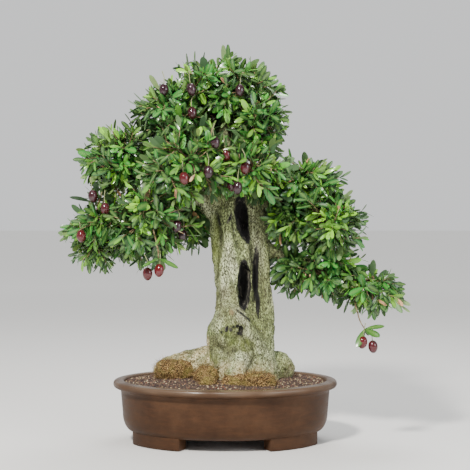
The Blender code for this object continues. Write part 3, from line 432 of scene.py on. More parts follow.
def new_material(name):
    """A material with nodes; returns it, its tree and its shader."""
    material = bpy.data.materials.new(name)
    material.use_nodes = True
    tree = material.node_tree
    return material, tree, tree.nodes["Principled BSDF"]


def coat(mesh, material):
    """Gives a mesh one material all over."""
    mesh.materials.clear()
    mesh.materials.append(material)


def new_object(name, mesh, material=None, smooth=True):
    """An object in the scene, coated and smoothed where asked."""
    piece = bpy.data.objects.new(name, mesh)
    bpy.context.scene.collection.objects.link(piece)
    if material:
        coat(mesh, material)
    if smooth:
        mesh.shade_smooth()
    return piece


def mesh_from(bm, name):
    """A mesh of what was drawn, its faces turned outwards."""
    bmesh.ops.recalc_face_normals(bm, faces=bm.faces)
    mesh = bpy.data.meshes.new(name)
    bm.to_mesh(mesh)
    bm.free()
    return mesh


def evaluated_mesh(piece):
    """A piece's mesh after its modifiers."""
    bpy.context.view_layer.update()
    graph = bpy.context.evaluated_depsgraph_get()
    return bpy.data.meshes.new_from_object(piece.evaluated_get(graph))


def apply_modifiers(piece):
    """Works a piece's modifiers into its mesh."""
    piece.data = evaluated_mesh(piece)
    piece.modifiers.clear()


def boolean(piece, other, operation, solver="MANIFOLD"):
    """Joins another piece to a piece or cuts it out, and removes the other."""
    step = piece.modifiers.new(operation.title(), "BOOLEAN")
    step.operation = operation
    step.solver = solver
    step.object = other
    apply_modifiers(piece)
    bpy.data.objects.remove(other)


def voxel_remesh(piece, size):
    """Grows a piece's parts together in cells of that size."""
    step = piece.modifiers.new("Remesh", "REMESH")
    step.mode = "VOXEL"
    step.voxel_size = size
    apply_modifiers(piece)


def relax(piece, times):
    """Smooths a piece a few times over."""
    step = piece.modifiers.new("Smooth", "SMOOTH")
    step.factor = 0.5
    step.iterations = times
    apply_modifiers(piece)


def clamp(value):
    """A value kept between 0 and 1."""
    return max(0.0, min(1.0, value))


def welded(mesh):
    """What a mesh holds, with its doubled points joined."""
    bm = bmesh.new()
    bm.from_mesh(mesh)
    bmesh.ops.remove_doubles(bm, verts=bm.verts, dist=1e-6)
    return bm


def points_and_normals(mesh):
    """Each vertex with its normal as it is before any of them moves."""
    normals = [vert.normal.copy() for vert in mesh.vertices]
    return zip(mesh.vertices, normals)


def finish_piece(piece, slot, *nodes):
    """Gives a piece its body and hides the nodes that it stands for; the slot is not used."""
    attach(piece, "root")
    if nodes:
        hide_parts(*nodes)


def store(mesh, name, values):
    """Stores a value for each vertex."""
    mesh.attributes.new(name, "FLOAT", "POINT").data.foreach_set("value", values)


# Shapes that several pieces share


def arc(middle, radii, start, end, steps):
    """Points of an elliptic arc in the plane of the pot's profile, by angle in degrees."""
    points = []
    for i in range(steps + 1):
        angle = math.radians(start + (end - start) * i / steps)
        points.append((middle[0] - radii[0] * math.cos(angle), middle[1] + radii[1] * math.sin(angle)))
    return points


def oval(inset, z, sides):
    """A ring of the pot's oval, inset from the lip's edge."""
    half_length, half_depth = POT_LENGTH / 2 - inset, POT_DEPTH / 2 - inset
    ring = []
    for i in range(sides):
        angle = math.tau * i / sides
        ring.append(POT_MIDDLE + Vector((half_length * math.cos(angle), half_depth * math.sin(angle), z)))
    return ring


def loft(bm, rings):
    """A closed skin over rings of points, capped at both ends."""
    rows = [[bm.verts.new(point) for point in ring] for ring in rings]
    for low, high in zip(rows, rows[1:]):
        for i in range(len(low)):
            j = (i + 1) % len(low)
            bm.faces.new((low[i], low[j], high[j], high[i]))
    bm.faces.new(rows[0])
    bm.faces.new(rows[-1])


def smooth_run(points, spacing):
    """A smooth run through (x, y, z, radius) points, by Catmull-Rom, about that far apart."""
    keys = [Vector(point) for point in points]
    keys = [2 * keys[0] - keys[1]] + keys + [2 * keys[-1] - keys[-2]]
    run = []
    for a, b, c, d in zip(keys, keys[1:], keys[2:], keys[3:]):
        steps = max(1, round((c.xyz - b.xyz).length / spacing))
        for i in range(steps):
            t = i / steps
            square, cube = a * 2 - b * 5 + c * 4 - d, b * 3 - a - c * 3 + d
            run.append((b * 2 + (c - a) * t + square * t**2 + cube * t**3) / 2)
    run.append(keys[-2])
    return run


def tube(bm, run, sides, rounded=False):
    """A closed tube along a run of (x, y, z, radius)."""
    if rounded:
        first, last = run[0], run[-1]
        back = (first.xyz - run[1].xyz).normalized()
        ahead = (last.xyz - run[-2].xyz).normalized()
        run = [Vector((*(first.xyz + back * first.w * 0.6), first.w * 0.6))] + run
        run = run + [Vector((*(last.xyz + ahead * last.w * 0.6), last.w * 0.6))]
    side = Vector((0, 1, 0))
    rings = []
    for i, point in enumerate(run):
        ahead = (run[min(i + 1, len(run) - 1)].xyz - run[max(i - 1, 0)].xyz).normalized()
        side = side - ahead * side.dot(ahead)
        side = side.normalized() if side.length > 1e-6 else ahead.orthogonal().normalized()
        other = ahead.cross(side)
        ring = []
        for k in range(sides):
            angle = math.tau * k / sides
            ring.append(point.xyz + (side * math.cos(angle) + other * math.sin(angle)) * point.w)
        rings.append(ring)
    loft(bm, rings)


def even_ways(count, turn):
    """Directions spread evenly over a sphere."""
    golden = math.pi * (3 - math.sqrt(5))
    for i in range(count):
        z = 1 - 2 * (i + 0.5) / count
        flat = math.sqrt(1 - z * z)
        yield Vector((flat * math.cos(golden * i + turn), flat * math.sin(golden * i + turn), z))


# Pot


def pot_profile():
    """The pot in section, from under its floor, up the wall, over the lip and down inside.

    Each arc is given by its middle (inset, height), its radii, its two angles and its steps.
    """
    belly = arc((0.033, 0.052), (0.0165, 0.032), -90, 0, 12)
    cove = arc((0.0045, 0.088), (-0.009, 0.009), 0, 90, 5)
    nose = arc((0.0045, 0.103), (0.0045, 0.006), -90, 90, 12)
    mouth = arc((0.0155, 0.106), (-0.004, 0.004), 90, 0, 5)
    well = arc((0.050, 0.060), (0.0235, 0.030), 0, -90, 8)
    return belly + cove + nose[1:] + mouth + well


def stoneware(glaze):
    """Stoneware with a thin wash of glaze: mottled, and paler on the crown of the lip, partly from handling
    wear and partly as a painted highlight.
    """
    material, tree, shader = new_material("washed_stoneware")
    places = object_coordinates(tree)
    cloud = noise_of(tree, places, 16.0, 4.0, 0.6)
    speck = noise_of(tree, places, 900.0, 2.0, 0.6)
    drag = noise_of(tree, object_coordinates(tree, (1.0, 1.0, 5.0)), 40.0, 5.0, 0.65)
    base = ramp(tree, cloud, (0.30, srgb(52, 34, 22)), (0.52, glaze), (0.72, srgb(80, 56, 38)))
    base = mix(tree, ramp(tree, drag, (0.45, 0.0), (0.75, 0.35)), base, srgb(92, 60, 38))
    base = mix(tree, ramp(tree, speck, (0.60, 0.0), (0.72, 0.55)), base, srgb(44, 27, 18))
    wear_and_highlight = attribute(tree, "wear_and_highlight")
    # The lip's crown is painted paler: partly wear, partly a painted highlight
    base = mix(tree, wear_and_highlight, base, srgb(108, 88, 70))
    rubbed = ramp(tree, wear_and_highlight, (0.2, 0.0), (0.6, 1.0))
    dull = ramp(tree, drag, (0.3, 0.40), (0.7, 0.54))
    set_inputs(tree, shader, {
        "Base Color": base,
        "Roughness": mix(tree, rubbed, dull, (0.24, 0.24, 0.24, 1.0)),
        "Specular IOR Level": ramp(tree, wear_and_highlight, (0.2, 0.14), (0.6, 0.60)),
        "Normal": bump(tree, mix(tree, 0.5, speck, drag), 0.25, 0.0006),
    })
    return material


def foot_piece(start):
    """One foot: a length of the oval from an angle on, with softened edges."""
    bm = bmesh.new()
    outer = (POT_LENGTH / 2 - FOOT_INSET, POT_DEPTH / 2 - FOOT_INSET)
    inner = (outer[0] - FOOT_WIDTH, outer[1] - FOOT_WIDTH)
    sections = []
    for i in range(FOOT_STEPS + 1):
        angle = math.radians(start + FOOT_SPAN * i / FOOT_STEPS)
        corners = []
        for half, z in ((outer, 0.0), (outer, FOOT_TOP), (inner, FOOT_TOP), (inner, 0.0)):
            corners.append(POT_MIDDLE + Vector((half[0] * math.cos(angle), half[1] * math.sin(angle), z)))
        sections.append(corners)
    loft(bm, sections)
    foot = new_object("foot", mesh_from(bm, "foot"))
    step = foot.modifiers.new("Bevel", "BEVEL")
    step.width = FOOT_EDGE
    step.segments = 3
    step.limit_method = "ANGLE"
    apply_modifiers(foot)
    return foot


def drain_piece(side):
    """What is cut out of the pot's floor for one drain hole."""
    bm = bmesh.new()
    place = Matrix.Translation(POT_MIDDLE + Vector((side * DRAIN_OFFSET, 0, 0.02)))
    size = {"segments": 40, "radius1": DRAIN_RADIUS, "radius2": DRAIN_RADIUS, "depth": 0.04}
    bmesh.ops.create_cone(bm, cap_ends=True, matrix=place, **size)
    return new_object("drain", mesh_from(bm, "drain"))


def lip_wear_and_highlight(vert):
    """How far a vertex of the pot is painted paler, partly wear and partly painted highlight: only the crown
    of the lip is.
    """
    crown = max(0.0, 1 - abs(vert.co.z - POT_HEIGHT) / LIP_WEAR_AND_HIGHLIGHT_BAND)
    return clamp(crown * (0.7 + 0.6 * noise.noise(vert.co * 35)))


class PotSettings(bpy.types.PropertyGroup):
    sides: IntProperty(name="Sides", description="Faces round the pot's oval", default=144, min=32)
    glaze: colour_property("Glaze", "Middle tone of the washed glaze", srgb(66, 45, 30))


class BONSAI_OT_pot(bpy.types.Operator):
    """Makes the oval pot with its rolled lip, cut feet and drain holes"""

    bl_idname = "bonsai.pot"
    bl_label = "Pot"

    def execute(self, context):
        sides = context.scene.bonsai_pot.sides
        bm = bmesh.new()
        loft(bm, [oval(inset, z, sides) for inset, z in pot_profile()])
        pot = new_object("oval_pot", mesh_from(bm, "oval_pot"))
        for start in POT_FEET:
            boolean(pot, foot_piece(start), "UNION", "EXACT")
        for side in (-1, 1):
            boolean(pot, drain_piece(side), "DIFFERENCE", "EXACT")
        mesh = pot.data
        coat(mesh, stoneware(tuple(context.scene.bonsai_pot.glaze)))
        mesh.shade_smooth()
        mesh.set_sharp_from_angle(angle=math.radians(40))
        store(mesh, "wear_and_highlight", [lip_wear_and_highlight(vert) for vert in mesh.vertices])
        finish_piece(pot, "stoneware", "pot")
        return {"FINISHED"}


def screen_material():
    """Black plastic mesh, a little dusty."""
    material, tree, shader = new_material("mesh_plastic")
    grain = noise_of(tree, object_coordinates(tree), 600.0)
    set_inputs(tree, shader, {
        "Base Color": ramp(tree, grain, (0.3, srgb(30, 32, 32)), (0.7, srgb(48, 50, 50))),
        "Normal": bump(tree, grain, 0.2, 0.0003),
        "Roughness": 0.6,
    })
    return material


class BONSAI_OT_screens(bpy.types.Operator):
    """Gives the drain screens their plastic"""

    bl_idname = "bonsai.screens"
    bl_label = "Drain screens"

    def execute(self, context):
        material = screen_material()
        for name in ("drain_screen_left", "drain_screen_right"):
            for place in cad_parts[name].material_slots:
                place.material = material
        return {"FINISHED"}


# Geometry node trees


def new_geometry_tree(name, inputs):
    """A tree with a geometry input and output, and named inputs as (name, kind, default)."""
    tree = bpy.data.node_groups.new(name, "GeometryNodeTree")
    tree.interface.new_socket("Geometry", in_out="INPUT", socket_type="NodeSocketGeometry")
    for label, kind, default in inputs:
        socket = tree.interface.new_socket(label, in_out="INPUT", socket_type="NodeSocket" + kind)
        if default is not None:
            socket.default_value = default
    tree.interface.new_socket("Geometry", in_out="OUTPUT", socket_type="NodeSocketGeometry")
    return tree, add_node(tree, "NodeGroupInput"), add_node(tree, "NodeGroupOutput")


def run_geometry_tree(tree, source, values):
    """The plain mesh that a tree makes of a piece, with its inputs set by their identifiers."""
    step = source.modifiers.new("Nodes", "NODES")
    step.node_group = tree
    for item in tree.interface.items_tree:
        if item.in_out == "INPUT" and item.name in values:
            step[item.identifier] = values[item.name]
    mesh = evaluated_mesh(source)
    source.modifiers.clear()
    return mesh


def random_between(tree, low, high, seed):
    """A random number for each point, or a random vector between two vectors."""
    if isinstance(low, tuple):
        values, kind, output = {0: low, 1: high, "Seed": seed}, "FLOAT_VECTOR", 0
    else:
        values, kind, output = {2: low, 3: high, "Seed": seed}, "FLOAT", 1
    return add_node(tree, "FunctionNodeRandomValue", values, data_type=kind).outputs[output]


def turned_by(tree, rotation, euler):
    """A rotation, turned further in its own axes by Euler angles."""
    further = add_node(tree, "FunctionNodeEulerToRotation", {0: euler}).outputs[0]
    values = {"Rotation": rotation, "Rotate By": further}
    return add_node(tree, "FunctionNodeRotateRotation", values, rotation_space="LOCAL").outputs[0]


def set_copies(tree, given, out, points, rotation, scale):
    """Ends a tree: a copy of the given piece on each point, all one mesh with the given finish."""
    piece = add_node(tree, "GeometryNodeObjectInfo", {"Object": given.outputs["Piece"]}).outputs["Geometry"]
    values = {"Points": points, "Instance": piece, "Rotation": rotation, "Scale": scale}
    copies = add_node(tree, "GeometryNodeInstanceOnPoints", values).outputs[0]
    solid = add_node(tree, "GeometryNodeRealizeInstances", {0: copies}).outputs[0]
    values = {"Geometry": solid, "Material": given.outputs["Finish"]}
    tree.links.new(add_node(tree, "GeometryNodeSetMaterial", values).outputs[0], out.inputs[0])
    return tree


def cover_tree(name, turns, lying):
    """Sets copies of a piece on the faces that look up, or lying along all of a mesh's faces."""
    tree, given, out = new_geometry_tree(name, [
        ("Piece", "Object", None), ("Per Area", "Float", 60000.0), ("Small", "Float", 0.004),
        ("Large", "Float", 0.012), ("Seed", "Int", SEED), ("Finish", "Material", None),
    ])
    seed = given.outputs["Seed"]
    values = {"Mesh": given.outputs["Geometry"], "Density": given.outputs["Per Area"], "Seed": seed}
    if not lying:
        normal = add_node(tree, "GeometryNodeInputNormal").outputs[0]
        up = add_node(tree, "ShaderNodeSeparateXYZ", {0: normal}).outputs["Z"]
        level = add_node(tree, "FunctionNodeCompare", {0: up, 1: 0.5}, operation="GREATER_THAN")
        values["Selection"] = level.outputs[0]
    places = add_node(tree, "GeometryNodeDistributePointsOnFaces", values)
    turn = random_between(tree, *turns, seed)
    if lying:
        turn = turned_by(tree, places.outputs["Rotation"], turn)
    size = random_between(tree, given.outputs["Small"], given.outputs["Large"], seed)
    kind = random_between(tree, 0.0, 1.0, KIND_SEED)
    values = {"Geometry": places.outputs["Points"], "Name": "kind", "Value": kind}
    form = {"data_type": "FLOAT", "domain": "POINT"}
    points = add_node(tree, "GeometryNodeStoreNamedAttribute", values, **form).outputs[0]
    return set_copies(tree, given, out, points, turn, size)


# Soil


def soil_height(x, y):
    """Height of the soil: mounded up to the roots, and uneven."""
    reach = (x / (POT_LENGTH / 2)) ** 2 + (y / (POT_DEPTH / 2)) ** 2
    uneven = noise.noise(Vector((x, y, 0)) / 0.018)
    return SOIL_LEVEL + SOIL_MOUND * max(0.0, 1 - reach) + 0.0015 * uneven


def soil_material():
    """Dark, gritty earth in patches."""
    material, tree, shader = new_material("soil_ground")
    places = object_coordinates(tree)
    grain = noise_of(tree, places, 420.0, 3.0, 0.7)
    patch = noise_of(tree, places, 30.0, 3.0, 0.5)
    base = ramp(tree, grain, (0.32, srgb(30, 23, 20)), (0.5, srgb(64, 50, 42)), (0.68, srgb(110, 90, 74)))
    base = mix(tree, ramp(tree, patch, (0.4, 0.0), (0.7, 0.5)), base, srgb(66, 52, 46))
    relief = bump(tree, grain, 0.9, 0.002)
    set_inputs(tree, shader, {"Base Color": base, "Normal": relief, "Roughness": 0.95})
    return material


def grain_material():
    """Lava, pumice and baked clay: mauve-brown, cream, ochre and a few red grains."""
    material, tree, shader = new_material("soil_grains")
    kind = attribute(tree, "kind")
    grit = noise_of(tree, object_coordinates(tree), 1400.0, 2.0)
    base = ramp(
        tree, kind, (0.00, srgb(40, 30, 28)), (0.22, srgb(84, 64, 58)), (0.42, srgb(112, 88, 76)),
        (0.58, srgb(70, 52, 44)), (0.72, srgb(150, 126, 94)), (0.82, srgb(204, 188, 152)),
        (0.88, srgb(134, 72, 46)), (0.95, srgb(96, 76, 70)),
    )
    base = mix(tree, ramp(tree, grit, (0.35, 0.0), (0.7, 0.45)), base, srgb(58, 46, 42))
    relief = bump(tree, grit, 0.5, 0.0005)
    set_inputs(tree, shader, {"Base Color": base, "Normal": relief, "Roughness": 0.92})
    return material


def pebble():
    """One rough grain, a unit across."""
    bm = bmesh.new()
    bmesh.ops.create_icosphere(bm, subdivisions=1, radius=0.5)
    for vert in bm.verts:
        vert.co *= 1 + 0.5 * noise.noise(vert.co * 2.2 + Vector((3, 0, 0)))
        vert.co.z *= 0.8
    return new_object("grain", mesh_from(bm, "grain"), smooth=False)


def ground_object():
    """The soil: its wall follows the inside of the pot, and its top is mounded and uneven."""
    bm = bmesh.new()
    rings = [oval(inset, z, SOIL_SIDES) for inset, z in SOIL_WALL]
    edge = oval(SOIL_EDGE, 0.0, SOIL_SIDES)
    for i in range(SOIL_RINGS):
        share = 1 - i / SOIL_RINGS
        ring = []
        for point in edge:
            x, y = (point.x - POT_MIDDLE.x) * share, (point.y - POT_MIDDLE.y) * share
            rough = 0.0009 * noise.noise(Vector((x, y, 3)) / 0.005)
            ring.append(POT_MIDDLE + Vector((x, y, soil_height(x, y) + rough)))
        rings.append(ring)
    loft(bm, rings)
    return new_object("soil_ground", mesh_from(bm, "soil_ground"), soil_material())


class SoilSettings(bpy.types.PropertyGroup):
    grains: FloatProperty(name="Grains per Area", description="Grains on a square metre", default=64000.0)
    small: FloatProperty(name="Smallest Grain", description="Across", default=0.0016, subtype="DISTANCE")
    large: FloatProperty(name="Largest Grain", description="Across", default=0.0044, subtype="DISTANCE")


class BONSAI_OT_soil(bpy.types.Operator):
    """Makes the ground of the pot and scatters grains over it"""

    bl_idname = "bonsai.soil"
    bl_label = "Soil"

    def execute(self, context):
        settings = context.scene.bonsai_soil
        ground = ground_object()
        grain = pebble()
        values = {
            "Piece": grain, "Per Area": settings.grains, "Small": settings.small, "Large": settings.large,
            "Seed": SEED, "Finish": grain_material(),
        }
        tree = cover_tree("scatter", ((0.0, 0.0, 0.0), (math.tau,) * 3), lying=False)
        grains = new_object("soil_grains", run_geometry_tree(tree, ground, values), smooth=False)
        bpy.data.objects.remove(grain)
        finish_piece(ground, "soil", "soil")
        finish_piece(grains, "soil")
        return {"FINISHED"}


# Trunk


def hollow_depth(point):
    """How far a point lies inside the nearest hollow: 1 at its middle, 0 on its skin, less outside."""
    best = -9.0
    for middle, half, lean in HOLLOWS + ROT_HOLES:
        way = Matrix.Rotation(-math.radians(lean), 3, "Y") @ (point - Vector(middle))
        reach = Vector(a / b for a, b in zip(way, half)).length
        best = max(best, 1 - reach)
    return best


def wood_frame():
    """A finder of the strand nearest a point, and the way that it runs there."""
    marks = []
    for run in (*STRANDS.values(), *LIMBS.values()):
        line = smooth_run(run, FINDER_SPACING)
        for i, point in enumerate(line):
            ahead = (line[min(i + 1, len(line) - 1)].xyz - line[max(i - 1, 0)].xyz).normalized()
            marks.append((point.xyz, ahead, point.w))
    finder = kdtree.KDTree(len(marks))
    for i, (place, _, _) in enumerate(marks):
        finder.insert(place, i)
    finder.balance()
    return finder, marks


def level_noise(place, apart):
    """A level vector of two noises, read that far apart."""
    return Vector((noise.noise(place), noise.noise(place + Vector((apart, 0, 0))), 0.0))


def groove(value):
    """A sharp-bottomed furrow where a noise crosses zero: 1 in it, 0 away from it."""
    return max(0.0, 1 - abs(value) * 4.5)


def bark_relief(point, ahead):
    """Depth of the bark's furrows at a point, and how deep in a crevice it lies."""
    depth, crevice = 0.0, 0.0
    moved = point + level_noise(point * 24, 7) * 0.010
    along = moved.dot(ahead)
    flat = moved - ahead * along
    for wide, length, deep in BARK_GROOVES:
        place = flat / wide + ahead * (along / length)
        cut = groove(noise.noise(place))
        depth -= deep * cut
        crevice = max(crevice, cut)
    # Fine grain, and lumps that are longer than wide
    depth += 0.0009 * noise.noise(point * 300)
    depth += 0.0018 * noise.noise(Vector((point.x, point.y, point.z * 0.5)) * 100)
    return depth, crevice


def seam_depth(point):
    """How deep a point lies in a seam of the trunk's front, and as a share of that seam's depth."""
    deepest, share = 0.0, 0.0
    if point.y > TRUNK_FRONT:
        return deepest, share
    place = Vector((point.x, point.z))
    for line, half, deep in SEAMS:
        for start, end in zip(line, line[1:]):
            near, along = geometry.intersect_point_line(place, Vector(start), Vector(end))
            near = Vector(start).lerp(Vector(end), clamp(along))
            reach = max(0.0, 1 - (place - near).length / half)
            if deep * reach > deepest:
                deepest, share = deep * reach, reach
    return deepest, share


def bark_material():
    """Grey-green bark: pale lichen, painted shade in the furrows and seams, dark rotten wood with painted
    shade in and round the hollows, moss near the soil, and patches of painted shade and painted light on the
    front.
    """
    material, tree, shader = new_material("olive_bark")
    places = object_coordinates(tree)
    streaks = object_coordinates(tree, (1.0, 1.0, 0.28))
    cloud = noise_of(tree, streaks, 24.0, 3.0, 0.55)
    fibre = noise_of(tree, streaks, 210.0, 4.0, 0.65)
    fleck = noise_of(tree, places, 340.0, 3.0, 0.6)
    tall = noise_of(tree, object_coordinates(tree, (1.0, 1.0, 0.06)), 150.0, 3.0, 0.6)
    speck = noise_of(tree, object_coordinates(tree, (1.0, 1.0, 0.36)), 680.0, 3.0, 0.7)
    pale, paler = srgb(186, 200, 136), srgb(226, 232, 188)
    base = ramp(tree, cloud, (0.34, srgb(142, 156, 92)), (0.50, pale), (0.66, paler))
    # Pale bare wood on the ridge, and painted light on the low and left parts of the trunk
    base = mix(tree, attribute(tree, "bare_and_lit"), base, srgb(218, 224, 182))
    base = mix(tree, ramp(tree, fibre, (0.38, 0.70), (0.54, 0.0)), base, srgb(84, 86, 50))
    base = mix(tree, ramp(tree, fleck, (0.60, 0.0), (0.72, 0.55)), base, srgb(228, 232, 212))
    base = mix(tree, ramp(tree, speck, (0.46, 0.96), (0.53, 0.0)), base, srgb(34, 34, 18))
    # Thin limbs are painted darker: partly their browner bark, partly painted shade under the canopy
    base = mix(tree, attribute(tree, "slim_and_shaded"), base, srgb(84, 76, 54))
    # Moss green, which also paints shade on the left strand and round the burl
    moss_and_shade = mix(tree, speck, srgb(52, 62, 22), srgb(136, 148, 66))
    base = mix(tree, attribute(tree, "moss_and_shade"), base, moss_and_shade)
    flake, chalk = srgb(176, 162, 112), srgb(240, 232, 188)
    crust = ramp(tree, fleck, (0.38, srgb(78, 62, 38)), (0.49, flake), (0.60, chalk))
    base = mix(tree, attribute(tree, "crust"), base, crust)
    # Painted shade in the furrows and seams
    base = mix(tree, attribute(tree, "crevice"), base, srgb(38, 38, 22))
    # Near black in and round the hollows: painted shade, with streaks of grey rotten wood
    rot_and_hollow_shade = ramp(tree, tall, (0.40, srgb(6, 5, 4)), (0.56, srgb(20, 18, 15)), (0.69, srgb(112, 108, 94)))
    base = mix(tree, attribute(tree, "rot_and_hollow_shade"), base, rot_and_hollow_shade)
    base = mix(tree, attribute(tree, "scar"), base, srgb(112, 84, 52))
    relief = bump(tree, mix(tree, 0.45, fibre, fleck), 1.0, 0.0030)
    set_inputs(tree, shader, {"Base Color": base, "Normal": relief, "Roughness": 0.88})
    return material


def spot(point, middle, half):
    """1 round a middle on the trunk's front, fading to 0 at the half sizes."""
    reach = Vector(((point.x - middle[0]) / half[0], (point.z - middle[1]) / half[1])).length
    return clamp(1.6 * (1 - reach)) if point.y < TRUNK_FRONT else 0.0


def bark_marks(point, radius, crevice, in_seam):
    """How calm the furrows are at a point, and how strong each mark of the bark, painted shade and painted
    light among them, is there.
    """
    scar = spot(point, *SCAR)
    # The pale patches, bare wood and painted light, also calm the furrows
    bare_and_lit = max(spot(point, *place) for place in BARE_AND_LIT_PATCHES)
    calm = 1 - 0.75 * max(scar, bare_and_lit)
    # Furrows and seams are darkened: painted shade
    shade = max(crevice * 1.1 - 0.60, in_seam * 1.2 - 0.35)
    moss_and_shade_spot = max(spot(point, *place) for place in MOSS_AND_SHADE_SPOTS)
    low = max(0.0, 1 - (point.z - 0.115) / 0.030)
    # Packed fibre clings to the foot, higher on the left root and thin at the right
    crust_top = 0.195 if point.x < -0.028 else 0.152
    skirt = clamp((crust_top - point.z) / 0.022) * (0.45 if point.x > 0.072 else 1.0)
    return calm, {
        "crevice": max(0.0, shade) * calm * (0.4 + 0.6 * min(1.0, radius / STOUT_LIMB)),
        "rot_and_hollow_shade": clamp((hollow_depth(point) + 0.10 * noise.noise(point * 160) + 0.20) / 0.14),
        "moss_and_shade": clamp(max(moss_and_shade_spot, 0.35 * low) * (0.5 + 0.7 * noise.noise(point * 70))),
        "crust": clamp(skirt * (0.75 + 0.9 * noise.noise(point * 60))),
        "scar": 0.7 * scar,
        "slim_and_shaded": 0.75 * max(0.0, 1 - radius / 0.024),
        "bare_and_lit": bare_and_lit * (0.45 + 0.5 * noise.noise(point * 110)),
    }


def furrow_bark(mesh, relief):
    """Cuts the furrows and seams of the bark, and stores its marks."""
    finder, strands = wood_frame()
    marks = {}
    for vert, normal in points_and_normals(mesh):
        point = vert.co.copy()
        _, ahead, radius = strands[finder.find(point)[1]]
        depth, crevice = bark_relief(point, ahead)
        seam, in_seam = seam_depth(point)
        calm, here = bark_marks(point, radius, crevice, in_seam)
        stout = min(1.0, radius / STOUT_LIMB)
        vert.co += normal * ((depth - seam) * stout * calm * relief * (1 - 0.5 * here["rot_and_hollow_shade"]))
        for name, value in here.items():
            marks.setdefault(name, []).append(value)
    for name, values in marks.items():
        store(mesh, name, values)


def flute(mesh):
    """Winds shallow flutes up the trunk."""
    for vert, normal in points_and_normals(mesh):
        height = (vert.co.z - FLUTE_LOW) / (FLUTE_HIGH - FLUTE_LOW)
        flat = vert.co.xy - TRUNK_AXIS
        if 0 < height < 1 and abs(flat.x) < FLUTE_REACH:
            wander = noise.noise(vert.co * 18.0) * 1.6
            wave = math.sin(FLUTES * math.atan2(flat.y, flat.x) + FLUTE_TWIST * height + wander)
            vert.co += normal * (FLUTE_DEPTH * math.sin(math.pi * height) ** 0.5 * wave)


def hollow_piece(middle, half, lean):
    """What is cut out of the trunk for one hollow, its edge ragged."""
    bm = bmesh.new()
    bmesh.ops.create_uvsphere(bm, u_segments=44, v_segments=30, radius=1.0)
    for vert in bm.verts:
        place = Vector((vert.co.x * 2.2, vert.co.y * 0.5, vert.co.z * 4.5)) + Vector(middle) * 90
        ragged = noise.noise(place)
        vert.co.x *= 1 + 0.42 * ragged
        vert.co.z *= 1 + 0.10 * ragged
    turn = Matrix.Rotation(math.radians(lean), 4, "Y")
    bm.transform(Matrix.Translation(middle) @ turn @ Matrix.Diagonal((*half, 1.0)))
    return new_object("hollow", mesh_from(bm, "hollow"))


def shape_trunk():
    """The wood grown together, fluted and hollowed."""
    bm = bmesh.new()
    for run in (*STRANDS.values(), *LIMBS.values()):
        tube(bm, smooth_run(run, WOOD_SPACING), WOOD_SIDES, rounded=True)
    trunk = new_object("trunk_wood", mesh_from(bm, "trunk_wood"))
    voxel_remesh(trunk, FIRST_VOXEL)
    relax(trunk, 5)
    flute(trunk.data)
    for hollow in HOLLOWS + ROT_HOLES:
        boolean(trunk, hollow_piece(*hollow), "DIFFERENCE")
    voxel_remesh(trunk, WOOD_VOXEL)
    relax(trunk, 2)
    return trunk


def root_block():
    """What is cut off the roots: all that lies deeper in the soil than the root cut."""
    middle = 0.002
    bm = bmesh.new()
    place = Matrix.Translation((0, 0, middle)) @ Matrix.Diagonal((0.8, 0.8, 2 * (ROOT_CUT - middle), 1.0))
    bmesh.ops.create_cube(bm, size=1.0, matrix=place)
    return new_object("below", mesh_from(bm, "below"))


class WoodSettings(bpy.types.PropertyGroup):
    relief: FloatProperty(name="Bark Relief", description="Share of its full depth", default=1.0, min=0.0)


class BONSAI_OT_wood(bpy.types.Operator):
    """Grows the trunk, its roots and limbs, and furrows their bark"""

    bl_idname = "bonsai.wood"
    bl_label = "Wood"

    def execute(self, context):
        trunk = shape_trunk()
        furrow_bark(trunk.data, context.scene.bonsai_wood.relief)
        trunk.data.transform(Matrix.Translation(POT_MIDDLE))
        boolean(trunk, root_block(), "DIFFERENCE")
        coat(trunk.data, bark_material())
        trunk.data.shade_smooth()
        finish_piece(trunk, "bark", "trunk")
        return {"FINISHED"}


# Root clods


def clod_material():
    """Brown root fibre with peat in it and a little moss on top."""
    material, tree, shader = new_material("packed_fibre")
    places = object_coordinates(tree)
    strand = noise_of(tree, places, 520.0, 4.0, 0.7)
    patch = noise_of(tree, places, 60.0, 3.0, 0.5)
    base = ramp(tree, strand, (0.38, srgb(14, 9, 4)), (0.50, srgb(84, 58, 28)), (0.62, srgb(204, 170, 112)))
    base = mix(tree, ramp(tree, patch, (0.45, 0.0), (0.70, 0.55)), base, srgb(126, 122, 56))
    relief = bump(tree, strand, 0.9, 0.002)
    set_inputs(tree, shader, {"Base Color": base, "Normal": relief, "Roughness": 1.0})
    return material


def fibre_object():
    """One short fibre, curved, a unit long."""
    bm = bmesh.new()
    places = [
        (0.0, 0.0, 0.0, 0.020), (0.10, 0.03, 0.35, 0.018), (0.30, 0.02, 0.70, 0.014),
        (0.62, -0.05, 0.92, 0.006),
    ]
    tube(bm, [Vector(place) for place in places], 3)
    return new_object("fibre", mesh_from(bm, "fibre"))


def fibre_material():
    """Root fibre, from black peat to straw, each strand of one kind."""
    material, tree, shader = new_material("fibre_strands")
    base = ramp(
        tree, attribute(tree, "kind"), (0.0, srgb(22, 14, 7)), (0.35, srgb(92, 64, 30)),
        (0.65, srgb(160, 122, 66)), (0.85, srgb(226, 198, 138)), (1.0, srgb(110, 100, 40)),
    )
    set_inputs(tree, shader, {"Base Color": base, "Roughness": 1.0})
    return material


def rough_clod(name, material):
    """A clod of the solids, finer and roughened."""
    clod = new_object(name + "_fibre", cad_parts[name].data.copy())
    bm = welded(clod.data)
    bm.to_mesh(clod.data)
    bm.free()
    voxel_remesh(clod, CLOD_VOXEL)
    relax(clod, 4)
    for vert, normal in points_and_normals(clod.data):
        vert.co += normal * (0.0022 * noise.noise(vert.co * 90) + 0.0014 * noise.noise(vert.co * 300))
    coat(clod.data, material)
    clod.data.shade_smooth()
    return clod


